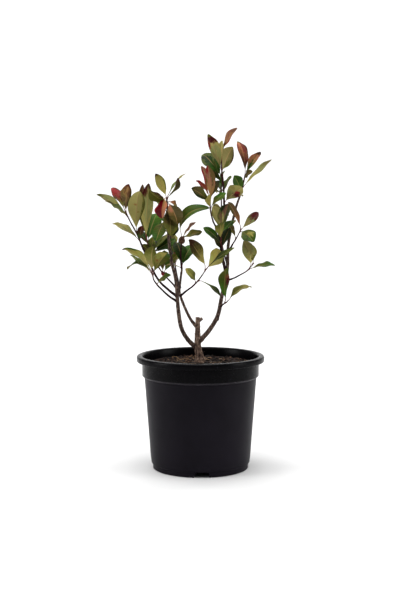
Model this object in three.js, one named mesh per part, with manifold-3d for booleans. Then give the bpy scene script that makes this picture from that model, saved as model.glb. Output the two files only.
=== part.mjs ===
// Photinia red robin: a young pruned shrub in a round nursery pot.
// Millimetres, +Z up. The origin is the centre of the pot's flat underside.
//
// The pot holds the soil, the trunk stands on the soil, the boughs fork from the trunk and
// the twigs from the boughs. Each shoot is one closed solid that grows on from a limb's tip:
// its stem, with the leaf stalks and blades fused on.
import * as THREE from 'three';
import { mergeVertices } from 'three/addons/utils/BufferGeometryUtils.js';
import Module from 'manifold-3d';

const wasm = await Module();
wasm.setup();

// ---- driving dimensions (mm and degrees) --------------------------------------------------
const CLEARANCE = 0.3; // between neighbouring solids

const POT = {
  height: 200,
  footRadius: 87,
  wallRadius: 99, // just under the collar
  collarRadius: 103,
  collarFoot: 164, // height of the step under the collar
  lipRadius: 112.5,
  lipHeight: 10.5,
  mouthRadius: 103.5,
  thickness: 2,
  sides: 56,
};
const FOOT = { radius: 84.8, height: 10 }; // narrower than the wall above it
// Drainage slots that run in under the pot, narrower at the top and at their inner end, each a
// little to one side of the middle.
const NOTCH = { width: 28, topWidth: 20, height: 9.5, depth: 38, shift: 2.5, count: 4 };
const SOIL = { top: 187, padRadius: 16, fall: 3, bump: 1.4, rings: 5, sides: 36, seed: 5 };

const LIMB_SIDES = 8;
const LIMB_STEP = 14; // length of limb for each ring of faces
const COLLAR_SWELL = 0.35; // how much a limb swells at its foot, as a share of its radius
const COLLAR_REACH = 8;

const STEM_SIDES = 5;
const STEM_STEP = 16;
const STEM_TIP = 0.62; // radius of a shoot's stem at its tip, as a share of the limb's tip
const STALK_SHARE = 0.17; // leaf stalk, as a share of the blade's length
const STALK_LEAN = 0.55; // how far the stalk turns from the stem toward the blade
const STALK_RADIUS = 0.9;
const STALK_EXTRA = 1;
const DROOP = { middle: 32, spread: 16 }; // how far a blade bends back along its length
const BLADE_WIDTH = { middle: 0.45, spread: 0.05 }; // as a share of its length
const FOLD = { middle: 18, spread: 8 }; // how far each half lifts off flat
const BLADE_STATIONS = [0.05, 0.24, 0.46, 0.68, 0.88]; // shares of the blade's length
const BLADE_THICKNESS = 1.2;
const BLADE_SKEW = 1.3; // above 1, the widest place lies past the middle
const BLADE_FULLNESS = { foot: 1.05, tip: 0.75 }; // above 1, the outline is hollow there

const GOLDEN_TURN = 137.5; // from one filling leaf to the next, round the stem
const FILLING = { lowest: 0.15, open: 58, close: 28, length: 46, shrink: 8, spread: 12 };
const FILLING_TRIES = 6; // for each filling leaf
const FAR_SIDE = 0.3; // least sine of the turn of a leaf that fills a shoot's far side
// The eye's distance in front of the plant and its height, and the gaps between the leaves that
// it sees sky through: left, right, low and high at the middle of the plant.
const VIEW = { away: 2011, height: 488 };
const SKY = [
  [22, 36, 507, 528],
  [-86, -76, 452, 469],
  [53, 76, 517, 536],
  [-18, 20, 424, 439],
  [-52, -38, 418, 429],
  [62, 74, 464, 490],
];
const LEAF_GAP = 7; // between a filling leaf and every other leaf
const LIMB_GAP = 4;

// ---- trunk, boughs and twigs --------------------------------------------------------------
// from: the limb it forks off; radii: at its foot and tip; path: from foot to tip
const LIMBS = [
  { name: 'trunk', radii: [7.2, 3.7],
    path: [[-1, 0, 187.3], [-1, 0, 195], [-4, 0, 209], [-5, 0, 222], [-5, 0, 244], [-5, 0, 267]] },
  { name: 'bough_left', from: 'trunk', radii: [4, 2.4],
    path: [[-4, 0, 211], [-20, -2, 225], [-33, -5, 247], [-39, -7, 281], [-43, -4, 332],
      [-52, 1, 372], [-58, 6, 434]] },
  { name: 'bough_middle', from: 'trunk', radii: [2.8, 1.9],
    path: [[-5, 1, 247], [-20, 8, 267], [-36, 14, 305], [-36, 16, 325], [-33, 16, 350]] },
  { name: 'bough_right', from: 'trunk', radii: [4.2, 1.9],
    path: [[-5, 0, 222], [14, 0, 242], [30, 1, 269], [37, 1, 302], [47, 6, 352],
      [49, 10, 395], [60, 18, 450], [69, 20, 479]] },
  { name: 'branch_top', from: 'bough_right', radii: [2.6, 1.9],
    path: [[45, 4, 342], [38, 1, 376], [34, 3, 406], [38, -2, 438], [41, -8, 464]] },
  { name: 'branch_side', from: 'branch_top', radii: [1.8, 1.5],
    path: [[34, 3, 402], [31, -9, 417], [22, -20, 435]] },
  { name: 'branch_near', from: 'branch_top', radii: [1.6, 1.3],
    path: [[42, 3, 355], [39, -8, 364], [38, -14, 378]] },
  { name: 'twig_lower_left', from: 'bough_left', radii: [1.9, 1.4],
    path: [[-42, -6, 296], [-56, -20, 307], [-74, -36, 326]] },
  { name: 'twig_outer_left', from: 'bough_left', radii: [2.1, 1.6],
    path: [[-42, -6, 305], [-57, 0, 316], [-77, 5, 337], [-101, -2, 389]] },
  { name: 'twig_behind_left', from: 'bough_left', radii: [1.6, 1.3],
    path: [[-44, -5, 321], [-51, 12, 327], [-61, 34, 335]] },
  { name: 'twig_centre', from: 'bough_middle', radii: [1.8, 1.4],
    path: [[-36, 13, 303], [-25, 3, 313], [-15, -8, 321]] },
  { name: 'twig_lower_right', from: 'bough_right', radii: [1.5, 1.2],
    path: [[35, 1, 284], [38, -7, 289], [41, -12, 292]] },
  { name: 'twig_outer_right', from: 'bough_right', radii: [1.6, 1.2],
    path: [[44, 4, 331], [58, 8, 335], [70, 10, 341]] },
  { name: 'twig_middle_right', from: 'bough_right', radii: [1.6, 1.3],
    path: [[49, 9, 383], [53, 4, 389], [56, 1, 395]] },
  { name: 'twig_back_left', from: 'bough_left', radii: [1.8, 1.4],
    path: [[-51, 0, 364], [-54, 22, 380], [-53, 50, 402]] },
  { name: 'twig_back_low', from: 'bough_middle', radii: [1.7, 1.3],
    path: [[-36, 15, 318], [-40, 38, 328], [-45, 68, 348]] },
  { name: 'twig_back_right', from: 'bough_right', radii: [1.8, 1.4],
    path: [[47, 7, 362], [42, 30, 376], [37, 58, 398]] },
  { name: 'twig_back_top', from: 'branch_top', radii: [1.6, 1.3],
    path: [[37, -1, 430], [37, 16, 444], [37, 36, 468]] },
];
// short spurs left by pruning: the limb each is part of, its two ends and its radius
const SPURS = [
  { on: 'trunk', ends: [[-5, 0, 259], [3, -1, 265]], radius: 3 },
  { on: 'bough_right', ends: [[27, 1, 265], [31.5, -1, 262.5]], radius: 3.2 },
];

// ---- shoots -------------------------------------------------------------------------------
// on: the limb whose tip it grows on from; stem: the points after that tip
// leaves: the ones that show, as seen from the front (-Y), each with
//   its root's share of the stem, the clock angle from straight up, the tip's angle toward
//   the front, the blade's length and width, the angle from the front to its upper side[, droop]
// filling: how many leaves the rule adds; space: left, right, low and high limits they keep to
const SHOOTS = [
  { name: 'shoot_outer_left', on: 'twig_outer_left', seed: 3,
    stem: [[-109.5, -6, 411], [-122, -9, 435], [-129, -12, 450]],
    leaves: [[0.32, 5, 10, 69, 32, 160], [0.12, -57, 25, 57, 21, 125],
      [0.8, -57, -10, 60, 22, 125], [0.9, -65, -35, 48, 18, 70], [1, -30, -35, 52, 25, 45],
      [0.9, 6, -30, 53, 27, 135], [0.75, -52, 5, 34, 17, 120], [0.15, 12, 15, 26, 15, 35]],
    filling: 0, space: [-185, -94, 395, 495] },
  { name: 'shoot_behind_left', on: 'twig_behind_left', seed: 5,
    stem: [[-71, 43, 346], [-84, 42, 370], [-93, 36, 392]],
    leaves: [[0.3, 140, 50, 24, 12, 45], [0.4, 35, -45, 38, 18, 135], [0.3, -30, -55, 36, 16, 45],
      [1, 3, -5, 94, 28, 155], [0.4, -25, -30, 44, 20, 145], [0.45, -10, -35, 44, 20, 45],
      [0.75, 50, -45, 40, 20, 55], [0.95, -42, -35, 36, 20, 45], [1, 18, -30, 57, 37, 25],
      [0.7, 48, -8, 50, 17, 60], [0.7, 60, 0, 44, 22, 35], [0.15, 5, -15, 38, 20, 30],
      [0.1, 38, 2, 40, 19, 30], [1, -4, -20, 98, 22, 150], [0.6, -38, 20, 32, 16, 35],
      [0.7, 8, 25, 34, 18, 35]],
    filling: 3, space: [-130, -46, 345, 490] },
  { name: 'shoot_lower_left', on: 'twig_lower_left', seed: 7,
    stem: [[-80, -44, 336], [-82, -48, 346]],
    leaves: [[0, 55, 40, 36, 14, 55], [1, -93, -30, 52, 19, 70, 110], [0.8, 36, 40, 54, 28, 155],
      [0.8, -53, -25, 50, 20, 70], [0.9, -53, 15, 64, 22, 130, 60], [1, 2, -40, 50, 28, 145]],
    filling: 1, space: [-135, -49, 326, 400] },
  { name: 'shoot_centre_left', on: 'bough_left', seed: 11,
    stem: [[-58, 7, 455], [-59, 8, 474]],
    leaves: [[0, -158, 30, 44, 26, 35], [0, 162, 40, 36, 24, 35], [0.6, 174, 30, 56, 30, 25],
      [0.7, 156, 35, 48, 30, 30], [1, -174, 35, 44, 28, 40], [0.75, -56, 40, 42, 24, -35],
      [0.8, 130, -50, 30, 16, 60], [0.95, 38, -20, 52, 13, 75], [0.9, 28, 25, 42, 22, -70],
      [0.95, -25, -15, 45, 18, 170]],
    filling: 4, space: [-89, -29, 405, 515] },
  { name: 'shoot_bud', on: 'bough_middle', seed: 13, bud: [5.8, 7],
    stem: [[-35, 16, 375], [-33, 14, 402]],
    leaves: [[0, -85, -15, 28, 10, 80], [0, -14, -25, 46, 26, 35], [0, 28, -30, 44, 28, 35],
      [1, 50, 15, 84, 28, 52, 128], [1, 43, -30, 38, 16, 110], [1, 72, 10, 34, 20, 130]],
    filling: 2, space: [-63, 8, 345, 450] },
  { name: 'shoot_centre', on: 'twig_centre', seed: 17,
    stem: [[-3, -14, 334], [10, -20, 353]],
    leaves: [[0.22, -36, 20, 31, 16, 35], [0.4, 127, 25, 46, 15, 70, 25],
      [0.9, -33, -30, 60, 26, 145], [1, 54, 25, 58, 15, 62], [0.92, 32, 15, 41, 30, 150]],
    filling: 1, space: [-31, 58, 315, 405] },
  { name: 'shoot_lower_right', on: 'twig_lower_right', seed: 19,
    stem: [[45, -15, 294.5], [48, -18, 298]],
    leaves: [[0, 2, -5, 56, 25, -40], [0.4, 57, 30, 54, 23, 125, 62]],
    filling: 0, space: [27, 90, 299, 355] },
  { name: 'shoot_outer_right', on: 'twig_outer_right', seed: 23,
    stem: [[82, 12, 348], [93, 14, 360]],
    leaves: [[0.7, -16, -25, 48, 25, 155], [0.5, 80, 25, 46, 17, 65],
      [0.9, -8, -35, 38, 18, 155]],
    filling: 0, space: [68, 133, 346, 398] },
  { name: 'shoot_middle_right', on: 'twig_middle_right', seed: 29,
    stem: [[62, -4, 405], [69, -8, 419]],
    leaves: [[0.4, -32, -20, 30, 14, 45], [0.9, 130, 40, 35, 29, 25], [1, -28, 25, 52, 19, 55],
      [0.9, 47, -35, 49, 16, 10]],
    filling: 1, space: [44, 100, 396, 465] },
  { name: 'shoot_right_top', on: 'bough_right', seed: 31,
    stem: [[74, 20, 496], [78, 20, 515]],
    leaves: [[0, 125, 70, 12, 6, 60], [0.1, -26, 35, 36, 22, 25], [0.3, 48, -5, 65, 17, 125, 12],
      [0.75, 48, 50, 28, 15, 55], [0.9, 34, 30, 50, 18, 150], [0.95, -13, -15, 58, 21, 35]],
    filling: 1, space: [72, 120, 485, 548] },
  { name: 'shoot_top', on: 'branch_top', seed: 37,
    stem: [[40, -8, 493], [37, -8, 521], [36, -8, 548]],
    leaves: [[0, 50, 25, 40, 29, 155], [0.22, 25, -35, 34, 16, 60], [0.25, 3, -25, 36, 14, 60],
      [0.5, -40, -20, 52, 31, 25], [0.35, -22, -20, 52, 24, -45], [0.6, 24, -30, 52, 31, 155],
      [0.6, -21, 20, 66, 22, 150], [0.72, 1, 25, 46, 13, 150], [1, 33, -20, 52, 19, 125]],
    filling: 3, space: [8, 60, 464, 580] },
  { name: 'shoot_side', on: 'branch_side', seed: 41,
    stem: [[17, -25, 455], [17, -28, 476]],
    leaves: [[0.5, 48, -15, 36, 16, 45], [0.5, -5, 45, 30, 14, 145], [0.85, 22, -35, 40, 18, 35],
      [0.75, -55, 35, 44, 22, 35], [0.9, -40, -25, 40, 14, 120], [0.8, -15, -15, 58, 22, 130],
      [0.7, -5, 15, 60, 22, 140]],
    filling: 2, space: [-12, 37, 462, 530] },
  { name: 'shoot_near', on: 'branch_near', seed: 43,
    stem: [[36, -20, 400], [37, -24, 424]],
    leaves: [[0.35, -48, 12, 41, 16, 30], [0.15, 22, -12, 36, 20, 35], [0.8, 15, 8, 46, 26, 145],
      [0.8, -20, 5, 44, 22, 145], [0.5, 0, 45, 40, 19, 155], [0.8, 46, -30, 30, 15, 40],
      [0.1, -32, 0, 24, 12, 40]],
    filling: 1, space: [4, 51, 400, 465] },
  { name: 'shoot_back_left', on: 'twig_back_left', seed: 47,
    stem: [[-56, 62, 418], [-60, 70, 444]],
    leaves: [], filling: 8, space: [-94, -34, 392, 515] },
  { name: 'shoot_back_low', on: 'twig_back_low', seed: 53,
    stem: [[-47, 80, 362], [-48, 88, 382]],
    leaves: [], filling: 7, space: [-108, 12, 330, 440] },
  { name: 'shoot_back_right', on: 'twig_back_right', seed: 59,
    stem: [[35, 70, 416], [34, 76, 438]],
    leaves: [], filling: 8, space: [12, 86, 385, 466] },
  { name: 'shoot_back_top', on: 'twig_back_top', seed: 61,
    stem: [[37, 46, 488], [38, 50, 510]],
    leaves: [], filling: 7, space: [4, 55, 463, 575] },
];

// ---- materials ----------------------------------------------------------------------------
const MATERIALS = {
  plastic: { color: 0x1b1c1e, roughness: 0.45, metalness: 0 },
  soil: { color: 0x3d2a20, roughness: 0.95, metalness: 0 },
  bark: { color: 0x6a5850, roughness: 0.85, metalness: 0 },
  twig: { color: 0x4d2f2f, roughness: 0.7, metalness: 0 },
  leaf: { color: 0x6d7440, roughness: 0.45, metalness: 0 },
};

// ---- helpers ------------------------------------------------------------------------------
const vector = ([x, y, z]) => new THREE.Vector3(x, y, z);
const radians = THREE.MathUtils.degToRad;

// Seeded draws from -1 to 1 (Park and Miller's generator).
function seededDraws(seed) {
  const modulus = 2147483647;
  const factor = 16807;
  let state = (seed * 7919 + 17) % modulus;
  const next = () => {
    state = (state * factor) % modulus;
    return (2 * state) / modulus - 1;
  };
  for (let i = 0; i < 3; i += 1) next();
  return next;
}

function drawFrom(draw, { middle, spread }) {
  return middle + spread * draw();
}

// A smooth curve through the points, shared by limbs and stems.
function curveThrough(points) {
  return new THREE.CatmullRomCurve3(points, false, 'catmullrom', 0.5);
}

function merge(geometry, tolerance) {
  geometry.deleteAttribute('normal');
  geometry.deleteAttribute('uv');
  return mergeVertices(geometry, tolerance);
}

function toSolid(geometry) {
  const merged = merge(geometry, 1e-4);
  return new wasm.Manifold(new wasm.Mesh({
    numProp: 3,
    vertProperties: new Float32Array(merged.attributes.position.array),
    triVerts: new Uint32Array(merged.index.array),
  }));
}

// The largest body of a solid, without loose scraps or sealed hollows.
function mainBody(solid) {
  const bodies = solid.decompose();
  return bodies.reduce((best, body) => (body.volume() > best.volume() ? body : best));
}

function toMesh(name, solid, finish) {
  const { vertProperties, triVerts } = mainBody(solid).getMesh();
  const geometry = new THREE.BufferGeometry();
  geometry.setAttribute('position', new THREE.BufferAttribute(vertProperties, 3));
  geometry.setIndex(new THREE.BufferAttribute(triVerts, 1));
  geometry.computeVertexNormals();
  const mesh = new THREE.Mesh(geometry, new THREE.MeshStandardMaterial(finish));
  mesh.name = name;
  return mesh;
}

// ---- limbs --------------------------------------------------------------------------------
// A cylinder bent along the curve; radiusAt gives its radius at each share of the length.
function taperedTube(curve, radiusAt, sides, step) {
  const length = curve.getLength();
  const rings = Math.max(2, Math.round(length / step));
  const geometry = new THREE.CylinderGeometry(1, 1, 1, sides, rings);
  const frames = curve.computeFrenetFrames(rings);
  const position = geometry.attributes.position;
  for (let i = 0; i < position.count; i += 1) {
    const share = position.getY(i) + 0.5;
    const ring = Math.round(share * rings);
    const radius = radiusAt(share * length, share);
    const point = curve.getPointAt(share)
      .addScaledVector(frames.normals[ring], position.getX(i) * radius)
      .addScaledVector(frames.binormals[ring], -position.getZ(i) * radius);
    position.setXYZ(i, point.x, point.y, point.z);
  }
  return geometry;
}

// A limb tapers evenly and swells at its foot.
function limbRadius({ radii: [foot, tip] }, distance, share) {
  const collar = COLLAR_SWELL * foot * Math.exp(-distance / COLLAR_REACH);
  return foot + (tip - foot) * share + collar;
}

function growLimb(limb, extra = 0) {
  const radiusAt = (distance, share) => limbRadius(limb, distance, share) + extra;
  let solid = toSolid(taperedTube(limb.curve, radiusAt, LIMB_SIDES, LIMB_STEP));
  for (const spur of SPURS.filter(({ on }) => on === limb.name)) {
    const stub = curveThrough(spur.ends.map(vector));
    const stubRadius = () => spur.radius + extra;
    solid = solid.add(toSolid(taperedTube(stub, stubRadius, LIMB_SIDES, LIMB_STEP)));
  }
  return solid;
}

// ---- shoots -------------------------------------------------------------------------------
// A leaf from its root's share of the stem, the direction from its blade's foot to its tip, the
// way its upper side looks and its sizes; what isn't given is drawn.
function makeLeaf(curve, share, toTip, facing, { length, ...given }, draw) {
  const drawn = [drawFrom(draw, DROOP), drawFrom(draw, BLADE_WIDTH), drawFrom(draw, FOLD)];
  const droop = radians(given.droop ?? drawn[0]);
  const width = given.width ?? drawn[1] * length;
  const upper = facing.clone().projectOnPlane(toTip).normalize();
  const axis = toTip.clone().multiplyScalar(Math.cos(droop / 2))
    .addScaledVector(upper, Math.sin(droop / 2));
  const up = upper.multiplyScalar(Math.cos(droop / 2))
    .addScaledVector(toTip, -Math.sin(droop / 2));
  const stalk = curve.getTangent(share).lerp(axis, STALK_LEAN).normalize();
  const root = curve.getPoint(share);
  const foot = root.clone().addScaledVector(stalk, STALK_SHARE * length + STALK_EXTRA);
  const side = axis.clone().cross(up);
  return { root, foot, axis, up, side, length, width, droop, fold: radians(drawn[2]) };
}

// A leaf listed as it is seen from the front; its upper side tips toward the stem's own tip.
function listedLeaf(curve, [share, clock, near, length, width, face, droop], draw) {
  const toTip = new THREE.Vector3(0, 0, 1)
    .applyAxisAngle(new THREE.Vector3(1, 0, 0), radians(near))
    .applyAxisAngle(new THREE.Vector3(0, 1, 0), radians(clock));
  const front = new THREE.Vector3(0, -1, 0).projectOnPlane(toTip).normalize();
  const sideways = toTip.clone().cross(front);
  if (sideways.dot(curve.getTangent(share)) < 0) sideways.negate();
  const facing = front.multiplyScalar(Math.cos(radians(face)))
    .addScaledVector(sideways, Math.sin(radians(face)));
  return makeLeaf(curve, share, toTip, facing, { length, width, droop }, draw);
}

// A leaf that the rule adds, by its turn round the stem and its angle from it.
function ruledLeaf(curve, share, turn, open, length, draw) {
  const along = curve.getTangent(share);
  const right = new THREE.Vector3(0, 1, 0).cross(along).normalize();
  const away = along.clone().cross(right);
  const outward = right.multiplyScalar(Math.cos(turn)).addScaledVector(away, Math.sin(turn));
  const toTip = along.clone().multiplyScalar(Math.cos(open))
    .addScaledVector(outward, Math.sin(open));
  return makeLeaf(curve, share, toTip, along, { length }, draw);
}

// The midrib's point and the blade's upward direction at a share of its length.
function midrib({ foot, axis, up, length, droop }, share) {
  const bend = droop * share;
  const point = foot.clone()
    .addScaledVector(axis, (length / droop) * Math.sin(bend))
    .addScaledVector(up, (length / droop) * (Math.cos(bend) - 1));
  const lift = up.clone().multiplyScalar(Math.cos(bend)).addScaledVector(axis, Math.sin(bend));
  return { point, lift };
}

function halfWidth({ width }, share) {
  const fullness = BLADE_FULLNESS.foot + (BLADE_FULLNESS.tip - BLADE_FULLNESS.foot) * share;
  return (width / 2) * Math.sin(Math.PI * share ** BLADE_SKEW) ** fullness;
}

// The blade's edge point on one side (hand 1 or -1).
function edgePoint(leaf, share, hand) {
  const { point, lift } = midrib(leaf, share);
  const half = halfWidth(leaf, share);
  return point.addScaledVector(leaf.side, hand * half * Math.cos(leaf.fold))
    .addScaledVector(lift, half * Math.sin(leaf.fold));
}

// A leaf's solid: four-sided rings from inside the stem, along the stalk and blade, to a point.
function leafSolid(leaf) {
  const rings = [];
  const stalkRing = (centre, up) => rings.push([
    centre.clone().addScaledVector(up, STALK_RADIUS),
    centre.clone().addScaledVector(leaf.side, STALK_RADIUS),
    centre.clone().addScaledVector(up, -STALK_RADIUS),
    centre.clone().addScaledVector(leaf.side, -STALK_RADIUS),
  ]);
  stalkRing(leaf.root, leaf.up);
  stalkRing(leaf.foot, leaf.up);
  for (const share of BLADE_STATIONS) {
    const { point, lift } = midrib(leaf, share);
    rings.push([
      point.clone().addScaledVector(lift, BLADE_THICKNESS / 2),
      edgePoint(leaf, share, 1),
      point.clone().addScaledVector(lift, -BLADE_THICKNESS / 2),
      edgePoint(leaf, share, -1),
    ]);
  }
  const corners = rings[0].length;
  const points = [...rings.flat(), midrib(leaf, 1).point];
  const index = [0, 2, 1, 0, 3, 2];
  for (let ring = 0; ring < rings.length; ring += 1) {
    for (let corner = 0; corner < corners; corner += 1) {
      const a = ring * corners + corner;
      const b = ring * corners + ((corner + 1) % corners);
      if (ring < rings.length - 1) index.push(a, b, b + corners, a, b + corners, a + corners);
      else index.push(a, b, points.length - 1);
    }
  }
  const geometry = new THREE.BufferGeometry().setFromPoints(points);
  geometry.setIndex(index);
  return toSolid(geometry);
}

// Points spread over the outer part of a blade, to keep leaves apart.
function bladeSamples(leaf) {
  const samples = [];
  for (const share of [0.3, 0.5, 0.7, 0.85, 1]) {
    samples.push(midrib(leaf, share).point);
    if (share < 1) samples.push(edgePoint(leaf, share, 1), edgePoint(leaf, share, -1));
  }
  return samples;
}

// Whether a point would close one of the gaps that the sky shows through.
function coversSky({ x, y, z }) {
  const nearer = VIEW.away / (VIEW.away + y);
  const across = x * nearer;
  const height = VIEW.height + (z - VIEW.height) * nearer;
  return SKY.some(([left, right, low, high]) => across > left && across < right
    && height > low && height < high);
}

// Leaves that the rule adds up the stem in a golden spiral, where there is room for them.
function fillingLeaves({ curve, draw, filling, leaves, space }, taken) {
  const [left, right, low, high] = space;
  const inSpace = ({ x, z }) => x > left && x < right && z > low && z < high;
  const added = [];
  for (let attempt = 0; attempt < filling * FILLING_TRIES; attempt += 1) {
    if (added.length === filling) break;
    const rise = (added.length + 0.5) / filling;
    const turn = radians(GOLDEN_TURN * attempt + FILLING.spread * draw());
    const open = radians(FILLING.open - FILLING.close * rise + FILLING.spread * draw());
    const length = FILLING.length - FILLING.shrink * rise + (FILLING.spread / 2) * draw();
    const share = FILLING.lowest + (1 - FILLING.lowest) * rise;
    const leaf = ruledLeaf(curve, share, turn, open, length, draw);
    const hidden = leaves.length === 0 || Math.sin(turn) > FAR_SIDE;
    const samples = bladeSamples(leaf);
    const clear = samples.every((sample) => inSpace(sample) && !coversSky(sample)
      && taken.every(({ point, gap }) => sample.distanceTo(point) > gap));
    if (hidden && clear) {
      added.push(leaf);
      samples.forEach((point) => taken.push({ point, gap: LEAF_GAP }));
    }
  }
  return added;
}

// The bud at a stem's tip: an upright egg.
function budSolid(curve, [radius, halfLength]) {
  const bud = new THREE.SphereGeometry(1, 8, 6);
  bud.scale(radius, halfLength, radius);
  const upright = new THREE.Quaternion()
    .setFromUnitVectors(new THREE.Vector3(0, 1, 0), curve.getTangent(1));
  bud.applyQuaternion(upright);
  const centre = curve.getPoint(1);
  bud.translate(centre.x, centre.y, centre.z);
  return toSolid(bud);
}

function growShoot({ curve, limb, placed, added, bud }) {
  const radiusAt = (distance, share) => limb.radii[1] * (1 - (1 - STEM_TIP) * share);
  let solid = toSolid(taperedTube(curve, radiusAt, STEM_SIDES, STEM_STEP));
  for (const leaf of [...placed, ...added]) solid = solid.add(leafSolid(leaf));
  if (bud) solid = solid.add(budSolid(curve, bud));
  return solid.subtract(growLimb(limb, CLEARANCE));
}

// ---- pot and soil -------------------------------------------------------------------------
function lathe(profile, sides) {
  const geometry = new THREE.LatheGeometry(profile.map(([r, z]) => new THREE.Vector2(r, z)), sides);
  geometry.rotateX(Math.PI / 2);
  return geometry;
}

// The outside from the centre of the underside up to the lip, then the inside back down.
function potSolid() {
  const { height, footRadius, wallRadius, collarRadius, collarFoot } = POT;
  const { lipRadius, lipHeight, mouthRadius, thickness, sides } = POT;
  const lipFoot = height - lipHeight;
  const profile = [
    [0, 0],
    [FOOT.radius - 1.2, 0],
    [FOOT.radius, 1.2],
    [FOOT.radius + 0.2, FOOT.height - 1],
    [footRadius, FOOT.height],
    [wallRadius, collarFoot - 1.5],
    [collarRadius - 0.6, collarFoot],
    [collarRadius, collarFoot + 2],
    [collarRadius, lipFoot],
    [lipRadius - 2, lipFoot],
    [lipRadius, lipFoot + 2.5],
    [lipRadius - 0.6, height - 3],
    [lipRadius - 3.6, height - 0.6],
    [lipRadius - 6.5, height],
    [mouthRadius + 1, height - 1.2],
    [mouthRadius - 1.5, height - 4.5],
    [collarRadius - thickness, lipFoot - 3],
    [collarRadius - thickness, collarFoot + 2],
    [wallRadius - thickness, collarFoot - 3],
    [footRadius - thickness, FOOT.height + thickness],
    [0, FOOT.height + thickness],
  ];
  let solid = toSolid(lathe(profile, sides));
  for (let i = 0; i < NOTCH.count; i += 1) {
    solid = solid.subtract(toSolid(notchCutter((i * 2 * Math.PI) / NOTCH.count)));
  }
  return solid;
}

// What is cut from the foot for a slot: a block that narrows upward, twice as high as the slot
// with its lower half under the floor.
function notchCutter(turn) {
  const { width, topWidth, height, depth, shift } = NOTCH;
  const atTop = topWidth / Math.SQRT2;
  const atBottom = (2 * width - topWidth) / Math.SQRT2;
  const slot = new THREE.CylinderGeometry(atTop, atBottom, 2 * height, 4);
  slot.rotateY(Math.PI / 4);
  slot.rotateX(Math.PI / 2);
  slot.scale(1, (2 * depth) / width, 1);
  slot.translate(shift, -FOOT.radius, 0);
  slot.rotateZ(turn);
  return slot;
}

// The soil fills the pot to its top, uneven but for a flat pad under the trunk.
function soilSolid() {
  const { footRadius, wallRadius, collarRadius, collarFoot, thickness } = POT;
  const { top, padRadius, fall, bump, rings, sides, seed } = SOIL;
  const bottom = FOOT.height + thickness + CLEARANCE;
  const inside = (radius) => radius - thickness - CLEARANCE;
  const profile = [
    [0, bottom],
    [inside(footRadius), bottom],
    [inside(wallRadius), collarFoot - 3],
    [inside(collarRadius), collarFoot + 2],
  ];
  for (let ring = 0; ring <= rings; ring += 1) {
    const share = ring / rings;
    profile.push([inside(collarRadius) - (inside(collarRadius) - padRadius) * share,
      top - fall * (1 - share)]);
  }
  profile.push([0, top]);
  const geometry = merge(lathe(profile, sides), 1e-3);
  const draw = seededDraws(seed);
  const position = geometry.attributes.position;
  for (let i = 0; i < position.count; i += 1) {
    const z = position.getZ(i);
    const radius = Math.hypot(position.getX(i), position.getY(i));
    if (z > top - fall - 1 && radius > padRadius + 1) position.setZ(i, z + bump * draw());
  }
  return toSolid(geometry);
}

// ---- assembly -----------------------------------------------------------------------------
const plant = new THREE.Group();
plant.add(toMesh('pot', potSolid(), MATERIALS.plastic));
plant.add(toMesh('soil', soilSolid(), MATERIALS.soil));

const limbs = new Map();
for (const row of LIMBS) {
  const limb = { ...row, curve: curveThrough(row.path.map(vector)) };
  limbs.set(limb.name, limb);
  let solid = growLimb(limb);
  if (limb.from) solid = solid.subtract(growLimb(limbs.get(limb.from), CLEARANCE));
  const finish = limb.name.startsWith('twig') ? MATERIALS.twig : MATERIALS.bark;
  plant.add(toMesh(limb.name, solid, finish));
}

const taken = [];
for (const limb of limbs.values()) {
  const count = Math.ceil(limb.curve.getLength() / LIMB_GAP);
  for (let i = 0; i <= count; i += 1) {
    const gap = limbRadius(limb, Infinity, i / count) + LIMB_GAP;
    taken.push({ point: limb.curve.getPoint(i / count), gap });
  }
}

const shoots = SHOOTS.map((row) => {
  const limb = limbs.get(row.on);
  const tip = limb.curve.getPoint(1).addScaledVector(limb.curve.getTangent(1), CLEARANCE);
  const shoot = { ...row, limb, curve: curveThrough([tip, ...row.stem.map(vector)]) };
  shoot.draw = seededDraws(row.seed);
  shoot.placed = row.leaves.map((leaf) => listedLeaf(shoot.curve, leaf, shoot.draw));
  shoot.placed.forEach((leaf) => bladeSamples(leaf)
    .forEach((point) => taken.push({ point, gap: LEAF_GAP })));
  return shoot;
});
for (const shoot of shoots) {
  shoot.added = fillingLeaves(shoot, taken);
  plant.add(toMesh(shoot.name, growShoot(shoot), MATERIALS.leaf));
}

export default plant;
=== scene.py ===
"""Looks of a potted photinia red robin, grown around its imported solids.

Sizes are in millimetres and angles in degrees until a mesh is made; +Z is up and the front is -Y.
Limbs, stems and leaves follow the same rule as the solids, with finer relief.
"""

import random
from math import ceil, copysign, cos, exp, hypot, pi, radians, sin, sqrt

import bpy
import numpy as np
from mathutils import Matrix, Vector, noise


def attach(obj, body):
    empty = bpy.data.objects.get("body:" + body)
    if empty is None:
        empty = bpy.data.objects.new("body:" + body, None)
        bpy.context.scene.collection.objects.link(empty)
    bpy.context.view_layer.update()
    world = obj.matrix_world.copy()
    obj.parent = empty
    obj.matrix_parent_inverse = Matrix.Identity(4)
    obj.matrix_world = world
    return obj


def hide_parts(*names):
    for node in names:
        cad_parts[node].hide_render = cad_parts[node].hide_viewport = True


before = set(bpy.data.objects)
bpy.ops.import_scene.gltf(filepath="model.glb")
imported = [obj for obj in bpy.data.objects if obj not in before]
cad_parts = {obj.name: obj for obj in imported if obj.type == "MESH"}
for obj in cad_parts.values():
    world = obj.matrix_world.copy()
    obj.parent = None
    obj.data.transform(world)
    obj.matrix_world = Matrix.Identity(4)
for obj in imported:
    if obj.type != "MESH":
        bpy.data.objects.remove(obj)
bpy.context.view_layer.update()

METRE = 1000.0  # millimetres in a metre

# ---- camera ----
CAMERA_PLACE = (0.0, -2011.0, 488.0)
CAMERA_DOWN = 5.44  # degrees below level
FOCAL_PIXELS = 1150.0
FRAME_PIXELS = 601.0  # the frame's longer side
SENSOR = 36.0

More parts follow.
